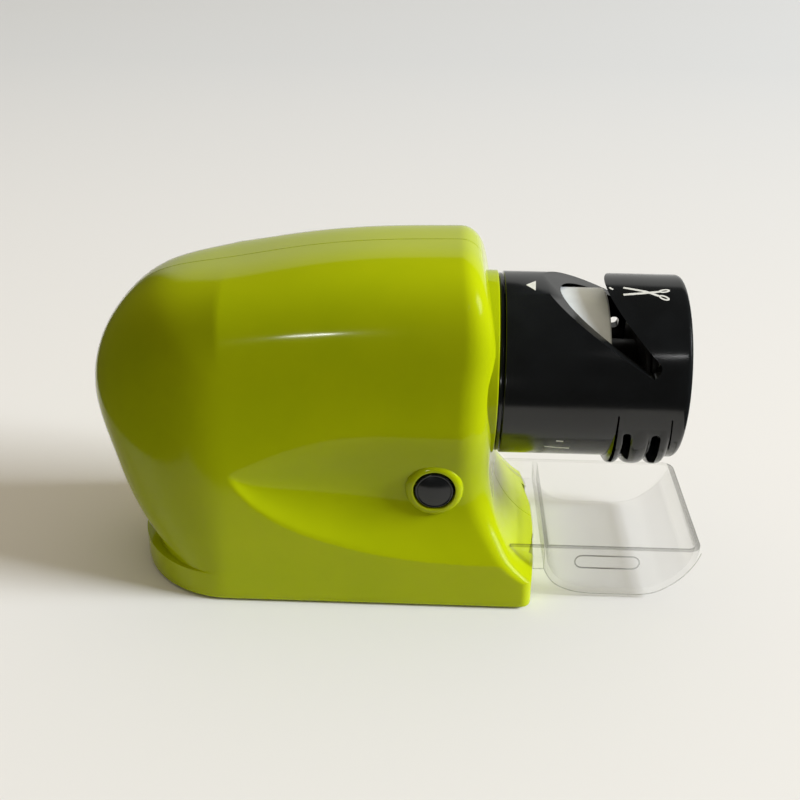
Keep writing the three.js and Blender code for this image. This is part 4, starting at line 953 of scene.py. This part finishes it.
def makeCap():
    outline = roundedOutline([(cap["rearX"], 0, 0), (cap["rearX"], cap["radius"], cap["rearEdge"]),
                              (cap["frontX"], cap["radius"], cap["edge"]), (cap["frontX"], 0, 0)], 7)
    obj = turnedPiece("guideCap", outline, "x", headCentre, cap["sides"])
    for span in lips["spans"]:
        combine(obj, lipPiece(span), "UNION")
    openX, innerX = cap["rearX"] - cap["openBy"], cap["innerFrontX"]
    hollow = roundedOutline([(openX, 0, 0), (openX, cap["bore"], 0), (innerX, cap["bore"], cap["innerRound"]),
                             (innerX, 0, 0)], 4)
    combine(obj, turnedPiece("hollow", hollow, "x", headCentre, cap["sides"]))
    rootX = innerX + cap["bossRoot"]
    boss = [(cap["bossX"], cap["bossBore"]), (cap["bossX"], cap["bossRadius"]), (rootX, cap["bossRadius"]),
            (rootX, cap["bossBore"])]
    combine(obj, turnedPiece("boss", boss, "x", headCentre, 64), "UNION")
    combine(obj, channelTool(channel))
    for spec in (*slits, *grooves):
        combine(obj, slotTool(spec))
    return finishPiece(obj, "blackGloss", "cap", ["guide_cap"], smoothAngle=34)


makeSeatRing(seatRing)
guideCap = makeCap()
print("cap:", len(guideCap.data.polygons), "faces")


# printed marks on the cap: strokes of (x, degrees round the cap), bent round it

marks = {"lift": 0.03, "thick": 0.03, "stroke": 0.75, "thinShare": 0.7, "merge": 0.0001, "loopSteps": 16,
         "arrowGrid": (7, 6), "arrowTip": 0.03}
arrowMark = [(32.3, 11.4), (35.0, 6.2), (34.7, 17.0)]
scissorsMark = {"blades": [[(57.4, 11.9), (63.0, 15.5), (66.1, 19.4)],
                           [(57.1, 19.0), (62.6, 17.0), (66.5, 15.3)]],
                "loops": [(67.8, 14.4, 1.2, 1.15, -0.5), (67.4, 20.9, 1.1, 1.5, 0.95)]}
# a short white dash to the left of the scissors mark, drawn in the print finish
whiteDashMark = [(53.8, 12.0), (54.6, 14.2)]
knifeMark = [[(38.6, 129.0), (42.0, 130.2), (45.2, 130.9)], [(41.4, 121.2), (43.2, 121.6)]]
printRadii = (cap["radius"] - marks["thick"], cap["radius"] + marks["lift"])


def markStroke(points, width, steps=6):
    scale = 2 * math.pi * cap["radius"] / 360
    flat = []
    for (xa, da), (xb, db) in zip(points, points[1:]):
        flat += [Vector((mix(xa, xb, k / steps), mix(da, db, k / steps) * scale)) for k in range(steps)]
    flat.append(Vector((points[-1][0], points[-1][1] * scale)))
    closed = points[0] == points[-1]
    if closed:
        flat.pop()
    count = len(flat)
    corners, faces = [], []
    for i, point in enumerate(flat):
        ahead = flat[(i + 1) % count] if closed or i + 1 < count else point
        behind = flat[i - 1] if closed or i > 0 else point
        direction = (ahead - behind).normalized()
        across = Vector((-direction.y, direction.x)) * width / 2
        edges = point + across, point - across
        corners += [onCap(edge.x, edge.y / scale, radius) for edge in edges for radius in printRadii]
    last = count if closed else count - 1
    for i in range(last):
        a, b = 4 * i, 4 * ((i + 1) % count)
        faces += [(a, a + 1, b + 1, b), (a + 2, b + 2, b + 3, a + 3), (a + 1, a + 3, b + 3, b + 1),
                  (a, b, b + 2, a + 2)]
    if not closed:
        faces += [(0, 2, 3, 1), (4 * last, 4 * last + 1, 4 * last + 3, 4 * last + 2)]
    return tidyMesh(newPiece("stroke", corners, faces), marks["merge"])


def makeMarks():
    thin = marks["stroke"] * marks["thinShare"]
    strokes = [markStroke(points, marks["stroke"]) for points in scissorsMark["blades"]]
    for x, degrees, halfX, halfDeg, tilt in scissorsMark["loops"]:
        turns = np.linspace(0, 2 * math.pi, marks["loopSteps"] + 1)
        ring = [(x + halfX * math.cos(a), degrees + halfDeg * math.sin(a) + tilt * halfX * math.cos(a))
                for a in turns]
        strokes.append(markStroke([*ring[:-1], ring[0]], thin, 2))
    strokes += [markStroke(points, thin) for points in [*knifeMark, whiteDashMark]]
    finishPiece(joinTools("printedMarks", strokes), "whitePrint", "cap")


def makeArrow():
    (rows, across), (tip, up, down) = marks["arrowGrid"], arrowMark
    corners, faces = [], []
    for radius in printRadii:
        for k in range(rows):
            t = max(k / (rows - 1), marks["arrowTip"])
            for j in range(across + 1):
                end = [mix(u, d, j / across) for u, d in zip(up, down)]
                corners.append(onCap(mix(tip[0], end[0], t), mix(tip[1], end[1], t), radius))
    wide, layer = across + 1, rows * (across + 1)
    for a in (k * wide + j for k in range(rows - 1) for j in range(across)):
        quad = (a, a + 1, a + wide + 1, a + wide)
        faces += [quad, tuple(layer + i for i in quad[::-1])]
    edge = [k * wide for k in range(rows)] + [(rows - 1) * wide + j for j in range(1, wide)]
    edge += [k * wide + across for k in range(rows - 2, -1, -1)] + list(range(across - 1, 0, -1))
    faces += [(a, b, layer + b, layer + a) for a, b in zip(edge, edge[1:] + edge[:1])]
    finishPiece(tidyMesh(newPiece("printedArrow", corners, faces), marks["merge"]), "whitePrint", "cap")


makeMarks()
makeArrow()


# what turns in the head, and the bush that carries its front end

rings = {
    "grindingStone": {"x": (33.2, 54.2), "outer": 20.6, "inner": 4.3, "edge": 0.8, "finish": "stoneGrey",
                      "nodes": ["grinding_stone"]},
    "spacerRing": {"x": (54.5, 63.0), "outer": 7.0, "inner": 4.3, "edge": 0.3, "finish": "blackSatin"},
    "spacerFlange": {"x": (63.0, 64.3), "outer": 19.2, "inner": 4.3, "edge": 0.3, "finish": "blackSatin",
                     "nodes": ["spacer_ring"]},
    # painted shade: a black disc in front of the knife wheel's stone keeps the end of the scissors channel
    # dark
    "wheelShadeDisc": {"x": (64.6, 66.3), "outer": 19.5, "inner": 4.3, "edge": 0.3, "finish": "blackSatin"},
    "knifeWheel": {"x": (66.3, 68.4), "outer": 19.5, "inner": 4.3, "edge": 0.5, "finish": "stoneGrey",
                   "nodes": ["knife_wheel"]},
    "shaftBush": {"x": (70.3, 72.1), "outer": 4.2, "inner": 2.06, "edge": 0.2, "finish": "turnedBrass",
                  "nodes": ["shaft_bush"], "body": "cap"},
}
for ringName, ring in rings.items():
    (ringRear, ringFront), outer, inner = ring["x"], ring["outer"], ring["inner"]
    ringSizes = {"Middle Radius": (outer + inner) / 2, "Section Height": outer - inner,
                 "Section Length": ringFront - ringRear, "Edge Radius": ring["edge"]}
    ringPiece = growPiece(ringName, turnedRing, [], ringSizes, ring["finish"])
    ringPlace = Matrix.Translation(((ringRear + ringFront) / 2 * mm, 0, head["z"] * mm))
    ringPiece.data.transform(ringPlace @ Matrix.Rotation(quarter, 4, "Y"))
    finishPiece(ringPiece, ring["finish"], ring.get("body", "spindle"), ring.get("nodes", []))


# catch tray, with thin lines on its lower edges and a raised oblong grip on the near side

tray = {"frontX": 82.5, "half": 24.4, "rimZ": 15.7, "wall": 1.3, "basinX": 40.1, "tailZ": 8.5, "lowZ": 0.9,
        "tailX": 30.5, "tailOver": 0.6, "corner": 3.6, "skirtGap": 0.3, "cutX": 20, "cutZ": 1}
hullShares = [(0, 0.44), (0.035, 0.64), (0.09, 0.82), (0.18, 0.94), (0.32, 1), (0.62, 1), (0.78, 0.86),
              (0.89, 0.6), (0.965, 0.28), (1, 0)]
trayLines = {"radius": 0.13, "inset": 0.12, "gripRadius": 0.2, "tailFrom": 36.4, "topGap": 0.5}
grip = {"x": (48.6, 66.0), "z": 11.4, "height": 3.9, "endSteps": 8}


def trayHull(inset):
    length, depth = tray["frontX"] - tray["basinX"], tray["rimZ"] - tray["lowZ"]
    curve = np.clip(smoothCurve(hullShares, 6), 0, 1)
    return [(tray["basinX"] + inset + a * (length - 2 * inset), tray["rimZ"] - b * (depth - inset))
            for a, b in curve]


def roundedPlan(inset, highZ, steps=8):
    toX, half, radius = tray["frontX"] - inset, tray["half"] - inset, tray["corner"] - inset
    outline = [(tray["cutX"], -half)]
    for sign, first in ((-1, 1), (1, 0)):
        for k in range(steps + 1):
            angle = quarter * (k / steps - first)
            outline.append((toX - radius + radius * math.cos(angle),
                            sign * (half - radius) + radius * math.sin(angle)))
    outline.append((tray["cutX"], half))
    return prism("plan", *([(x, y, z) for x, y in outline] for z in (-tray["cutZ"], highZ)))


def makeTray():
    t, half, rim, tailZ = tray["wall"], tray["half"], tray["rimZ"], tray["tailZ"]
    basinX, frontX = tray["basinX"], tray["frontX"]
    top = rim + overrun
    outer = plateXZ("catchTray", [(basinX, rim), *trayHull(0)[:-1], (frontX, rim)], -half, half)
    combine(outer, roundedPlan(0, rim + tray["cutZ"]), "INTERSECT", "EXACT")
    inner = plateXZ("basin", [(basinX + t, top), *trayHull(t)[:-1], (frontX - t, top)], -half, half)
    combine(inner, roundedPlan(t, rim + 2 * overrun), "INTERSECT", "EXACT")
    combine(outer, inner, "DIFFERENCE", "EXACT")
    tailX, tailEnd = tray["tailX"], basinX + t * tray["tailOver"]
    spans = (-half, t - half, rim), (half - t, half, rim), (-half, half, tailZ + t)
    addBlocks(outer, [((tailX, y0, tailZ), (tailEnd, y1, z1)) for y0, y1, z1 in spans])
    gap = tray["skirtGap"]
    skirts = [halfShell("skirt", side, housingSkin(-gap, housing["baseLift"] - gap)) for side in (-1, 1)]
    for skirt in skirts:
        combine(outer, skirt, "DIFFERENCE", "EXACT")
    startX, lowZ = housing["footX"] - tongue["past"], tailZ + t - tongue["thick"]
    addBlocks(outer, [((startX, middle - tongue["half"], lowZ), (tailEnd, middle + tongue["half"], tailZ + t))
                      for middle in (-tongue["y"], tongue["y"])])
    return finishPiece(outer, "clearPlastic", "tray", ["catch_tray"])


def trayLine(name, corners, edges, radius, finish):
    obj = growPiece(name, edgeLine, corners, {"Wire Radius": radius}, finish, edges=edges)
    finishPiece(obj, finish, "tray")


def makeTrayLines(spec):
    inset = spec["inset"]
    rearX = tray["basinX"] + inset
    path = [(rearX, tray["rimZ"] - spec["topGap"])] + [(x, z + inset) for x, z in trayHull(0)[1:-1]]
    tail = [(x, tray["tailZ"] + inset) for x in (spec["tailFrom"], rearX)]
    edges = [(i, i + 1) for i in range(len(path) - 1)] + [(len(path), len(path) + 1)]
    # the near edge line takes the darker copy of the clear plastic, which is painted shade; the far edge line
    # takes the plain one
    for name, side, finish in (("trayEdgeNear", -1, "shadedClearLine"), ("trayEdgeFar", 1, "clearPlastic")):
        corners = [(x, side * (tray["half"] - inset), z) for x, z in path + tail]
        trayLine(name, corners, edges, spec["radius"], finish)
    high, corners = grip["height"] / 2, []
    for centreX, first in ((grip["x"][1] - high, -90), (grip["x"][0] + high, 90)):
        for k in range(grip["endSteps"] + 1):
            angle = math.radians(first + 180 * k / grip["endSteps"])
            corners.append((centreX + high * math.cos(angle), -tray["half"],
                            grip["z"] + high * math.sin(angle)))
    edges = [(i, (i + 1) % len(corners)) for i in range(len(corners))]
    # the grip outline takes the darker copy of the clear plastic: painted shade
    trayLine("trayGrip", corners, edges, spec["gripRadius"], "shadedClearLine")


catchTray = makeTray()
makeTrayLines(trayLines)
print("tray:", len(catchTray.data.polygons), "faces")


# screws, feet, cells and springs

turnToX, turnToY = (0, quarter, 0), (-quarter, 0, 0)
housingScrews = {"seatY": 5.6, "sizes": {"Head Radius": 2.9, "Crown Radius": 2.2, "Head Height": 2.0,
                                         "Shank Radius": 1.5, "Shank Length": 14.9, "Cross Long": 3.5,
                                         "Cross Short": 0.7, "Cross Depth": 1.0}}
motorScrews = {"seatX": 18.8, "y": 8.0, "sizes": {"Head Radius": 2.3, "Crown Radius": 1.8, "Head Height": 1.3,
                                                  "Shank Radius": 1.2, "Shank Length": 4.7, "Cross Long": 2.6,
                                                  "Cross Short": 0.55, "Cross Depth": 0.7}}
rubberFeet = {"z": 0.0, "sizes": {"Base Radius": 4.15, "Top Radius": 4.6, "Height": 1.6}}
cells = {"rearX": -57.1, "radius": 7.25, "length": 49.5, "nubRadius": 2.7, "nubTop": 0.9, "nubLength": 1.0,
         "side": 7.5, "levels": (13.55, 28.55), "capInset": 0.6, "capShrink": 0.5}
contactSprings = {"x": -58.85, "turns": 2.5, "sizes": {"Start Radius": 3.93, "End Radius": 1.7, "Length": 1.0,
                                                       "Wire Radius": 0.43}}
buttonSpring = {"y": -18.87, "turns": 3.0, "sizes": {"Start Radius": 4.1, "End Radius": 4.1, "Length": 4.56,
                                                     "Wire Radius": 0.48}}


def growRow(name, tree, places, sizes, material, turn=(0, 0, 0), node=None):
    nodes = ["%s_%d" % (node, i + 1) for i in range(len(places))] if node else []
    finishPiece(growPiece(name, tree, places, sizes, material, turn), material, "base", nodes)


def studSizes(base, top, height):
    return {"Base Radius": base, "Top Radius": top, "Height": height}


def makeFastenings():
    places = [(x, housingScrews["seatY"], z) for x, z in screwPlaces]
    growRow("housingScrews", crossScrew, places, housingScrews["sizes"], "zincSteel", turnToY,
            "housing_screw")
    places = [(motorScrews["seatX"], side * motorScrews["y"], head["z"]) for side in (-1, 1)]
    growRow("motorScrews", crossScrew, places, motorScrews["sizes"], "zincSteel", turnToX, "motor_screw")
    ends = footPad["rearX"], footPad["frontX"]
    places = [(x, side * footPad["y"], rubberFeet["z"]) for x in ends for side in (-1, 1)]
    growRow("rubberFeet", stud, places, rubberFeet["sizes"], "rubberFoot", node="rubber_foot")


def makeCells(spec):
    rearX, radius, length, inset = spec["rearX"], spec["radius"], spec["length"], spec["capInset"]

    def placesAt(*xs):
        return [(x, side * spec["side"], z) for x in xs for z in spec["levels"] for side in (-1, 1)]

    sizes = studSizes(radius, radius, length - 2 * inset)
    growRow("cellSleeves", stud, placesAt(rearX + inset), sizes, "cellSleeve", turnToX, "battery_cell")
    ends = radius - spec["capShrink"]
    growRow("cellEnds", stud, placesAt(rearX, rearX + length - inset), studSizes(ends, ends, inset),
            "zincSteel", turnToX)
    sizes = studSizes(spec["nubRadius"], spec["nubRadius"] * spec["nubTop"], spec["nubLength"])
    growRow("cellTips", stud, placesAt(rearX + length), sizes, "zincSteel", turnToX)
    growRow("contactSprings", coilTree(contactSprings["turns"]), placesAt(contactSprings["x"]),
            contactSprings["sizes"], "zincSteel", turnToX, "contact_spring")


def makeButtonSpring(spec):
    place = (buttonPlace["x"], spec["y"], buttonPlace["z"])
    obj = growPiece("buttonSpring", coilTree(spec["turns"]), [place], spec["sizes"], "zincSteel", turnToY)
    finishPiece(obj, "zincSteel", "base", ["button_spring"])


makeFastenings()
makeCells(cells)
makeButtonSpring(buttonSpring)


# battery door: a plate with two hooks, a snap tongue and finger grooves beside it

door = {"x": (-62.6, -3.1), "half": 17.55, "z": (0.7, 2.2), "hookX": -65.5, "hookZ": (2.6, 4.2),
        "hookWidth": 6.0, "hookY": 8.8, "neck": 1.4, "sink": 0.2, "latch": 1.2, "latchWidth": 9.0,
        "latchZ": 4.2, "grooves": 5, "grooveStep": 2.2, "grooveFrom": 2.6,
        "groove": {"Length": 16.0, "Width": 1.0, "Depth": 0.9}, "edge": 0.15, "edgeAngle": 50}


def roundEdges(obj, width, angle, segments=2):
    modifier = obj.modifiers.new("edges", "BEVEL")
    modifier.width, modifier.segments = width * mm, segments
    modifier.limit_method, modifier.angle_limit = "ANGLE", math.radians(angle)
    modifier.harden_normals = False
    return bakeModifiers(obj)


def makeDoor(spec):
    (x0, x1), (z0, z1), half, sink = spec["x"], spec["z"], spec["half"], spec["sink"]
    hookLow, hookHigh = spec["hookZ"]
    plate = blockPiece("batteryDoor", (x0, -half, z0), (x1, half, z1))
    additions = []
    for middle in (-spec["hookY"], spec["hookY"]):
        y0, y1 = middle - spec["hookWidth"] / 2, middle + spec["hookWidth"] / 2
        additions += [((x0, y0, z0 + sink), (x0 + spec["neck"], y1, hookHigh)),
                      ((spec["hookX"], y0, hookLow), (x0 + sink, y1, hookHigh))]
    y1 = spec["latchWidth"] / 2
    additions.append(((x1 - spec["latch"], -y1, z0 + sink), (x1, y1, spec["latchZ"])))
    addBlocks(plate, additions)
    places = [(x1 - spec["grooveFrom"] - i * spec["grooveStep"], 0, z0) for i in range(spec["grooves"])]
    combine(plate, growPiece("grooves", barTree(), places, spec["groove"], "limePlastic"), "DIFFERENCE",
            "EXACT")
    roundEdges(plate, spec["edge"], spec["edgeAngle"])
    return finishPiece(plate, "limePlastic", "door", ["battery_door"], smoothAngle=15)


makeDoor(door)
print("small pieces ready")


# floor, backdrop and lights

white, black = (1.0, 1.0, 1.0), (0.0, 0.0, 0.0)
# the table's far colour is painted shade: the table turns darker and bluer towards the back
room = {
    "floorEdge": [(-112, -115), (100, -115), (500, 1400), (-600, 1400)], "floorColour": (0.80, 0.79, 0.80),
    "floorRough": 0.6, "floorShine": 0.1, "farShadeColour": (0.69, 0.705, 0.745), "farShadeFrom": (60, 760),
    "outerReach": 2600, "cameraColour": (0.80, 0.79, 0.77), "fillDark": (0.04, 0.035, 0.02),
    "fillPale": (0.74, 0.655, 0.50), "fillFrom": (0.5, 0.72, 0.48), "wallColour": (0.62, 0.62, 0.60),
    "darkColour": (0.03, 0.03, 0.03), "wallTop": (0.60, 0.635), "wallSide": (0.70, 0.76),
    "wallLeft": (-0.45, -0.38),
}
windowPlace = {"place": (4970, -540, 2300), "aim": (0, 0, 40), "size": (1800, 1800)}
lamps = {
    "window": {**windowPlace, "power": 480, "colour": (0.92, 0.97, 1.0), "glossy": False},
    "windowGleam": {**windowPlace, "power": 240, "colour": (0.95, 0.98, 1.0), "diffuse": False},
    "leftTube": {"place": (-120, -800, 60), "aim": (0, 0, 60), "size": (50, 9), "power": 0.3, "colour": white,
                 "diffuse": False},
    "rightTube": {"place": (316, -800, 640), "aim": (0, 0, 60), "size": (110, 9), "power": 0.12,
                  "colour": white, "diffuse": False},
}


def makeFloor(spec):
    tree, shader, place = startMaterial("tablePaint")
    along = made(tree, "ShaderNodeSeparateXYZ", "Y", {"Vector": place})
    # painted shade on the table: darker and bluer towards the back
    farShade = ranged(tree, along, *(edge * mm for edge in spec["farShadeFrom"]))
    setInputs(tree, shader, {"Base Color": mixColours(tree, farShade, spec["floorColour"], spec["farShadeColour"]),
                             "Roughness": spec["floorRough"], "Specular IOR Level": spec["floorShine"]})
    # the table that lights and mirrors in the object, and round it one that only the camera sees
    inner, reach = spec["floorEdge"], spec["outerReach"]
    outer = [(-reach, -reach), (reach, -reach), (reach, reach), (-reach, reach)]
    for name, edge, faces in (("tableTop", inner, [(0, 1, 2, 3)]),
                              ("tableRest", outer + inner, sideFaces(4))):
        obj = newPiece(name, [(x, y, 0) for x, y in edge], faces)
        obj.data.materials.append(materials["tablePaint"])
        obj.visible_diffuse = obj.visible_glossy = name == "tableTop"


def makeLamp(name, spec):
    data = bpy.data.lights.new(name, "AREA")
    data.shape = "RECTANGLE"
    data.size, data.size_y = spec["size"][0] * mm, spec["size"][1] * mm
    data.energy, data.color = spec["power"], spec["colour"]
    obj = linkedObject(name, data)
    obj.location = Vector(spec["place"]) * mm
    obj.rotation_mode = "QUATERNION"
    obj.rotation_quaternion = (Vector(spec["aim"]) - Vector(spec["place"])).to_track_quat("-Z", "Y")
    obj.visible_diffuse, obj.visible_glossy = spec.get("diffuse", True), spec.get("glossy", True)


def makeWorld(spec):
    world = bpy.data.worlds.new("softRoom")
    bpy.context.scene.world = world
    world.use_nodes = True
    tree = world.node_tree
    place = made(tree, "ShaderNodeTexCoord", "Generated")
    split = addNode(tree, "ShaderNodeSeparateXYZ", {"Vector": place}).outputs
    # reflections see a pale wall behind the object, up to a sharp top edge, and a dark room elsewhere
    under = ramp(tree, split["Z"], *zip(spec["wallTop"], (white, black)))
    behind = ramp(tree, split["Y"], *zip(spec["wallSide"], (black, white)))
    shared = calculated(tree, "MULTIPLY", under, ranged(tree, split["X"], *spec["wallLeft"]))
    mirrored = mixColours(tree, calculated(tree, "MULTIPLY", shared, behind), spec["darkColour"],
                          spec["wallColour"])
    # soft fill, stronger from behind the object and from its right
    along = made(tree, "ShaderNodeVectorMath", "Value", {0: place, 1: spec["fillFrom"]},
                 operation="DOT_PRODUCT")
    fill = mixColours(tree, ranged(tree, along, -1.0, 1.0), spec["fillDark"], spec["fillPale"])
    path = addNode(tree, "ShaderNodeLightPath").outputs
    light = mixColours(tree, path["Is Glossy Ray"], fill, mirrored)
    chosen = mixColours(tree, path["Is Camera Ray"], light, spec["cameraColour"])
    setInputs(tree, tree.nodes["Background"], {"Color": chosen, "Strength": 1.0})


makeFloor(room)
for lampName, lampSpec in lamps.items():
    makeLamp(lampName, lampSpec)
makeWorld(room)
print("room ready")


# remaining solids of the frame, by the start of their names

nodeFinishes = {
    "battery_holder": "blackSatin", "contact_plate": "zincSteel", "motor_can": "zincSteel",
    "motor_end_cap": "whiteNylon", "motor_bracket": "zincSteel", "drive_shaft": "zincSteel",
    "wheel_hub": "blackSatin", "switch_bracket": "blackSatin", "switch_body": "blackSatin",
    "switch_plunger": "whiteNylon", "wire_battery": "redWire", "wire_switch": "blackWire",
}
for nodeName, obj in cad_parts.items():
    for prefix, finishName in nodeFinishes.items():
        if nodeName.startswith(prefix):
            obj.data.materials.clear()
            obj.data.materials.append(materials[finishName])
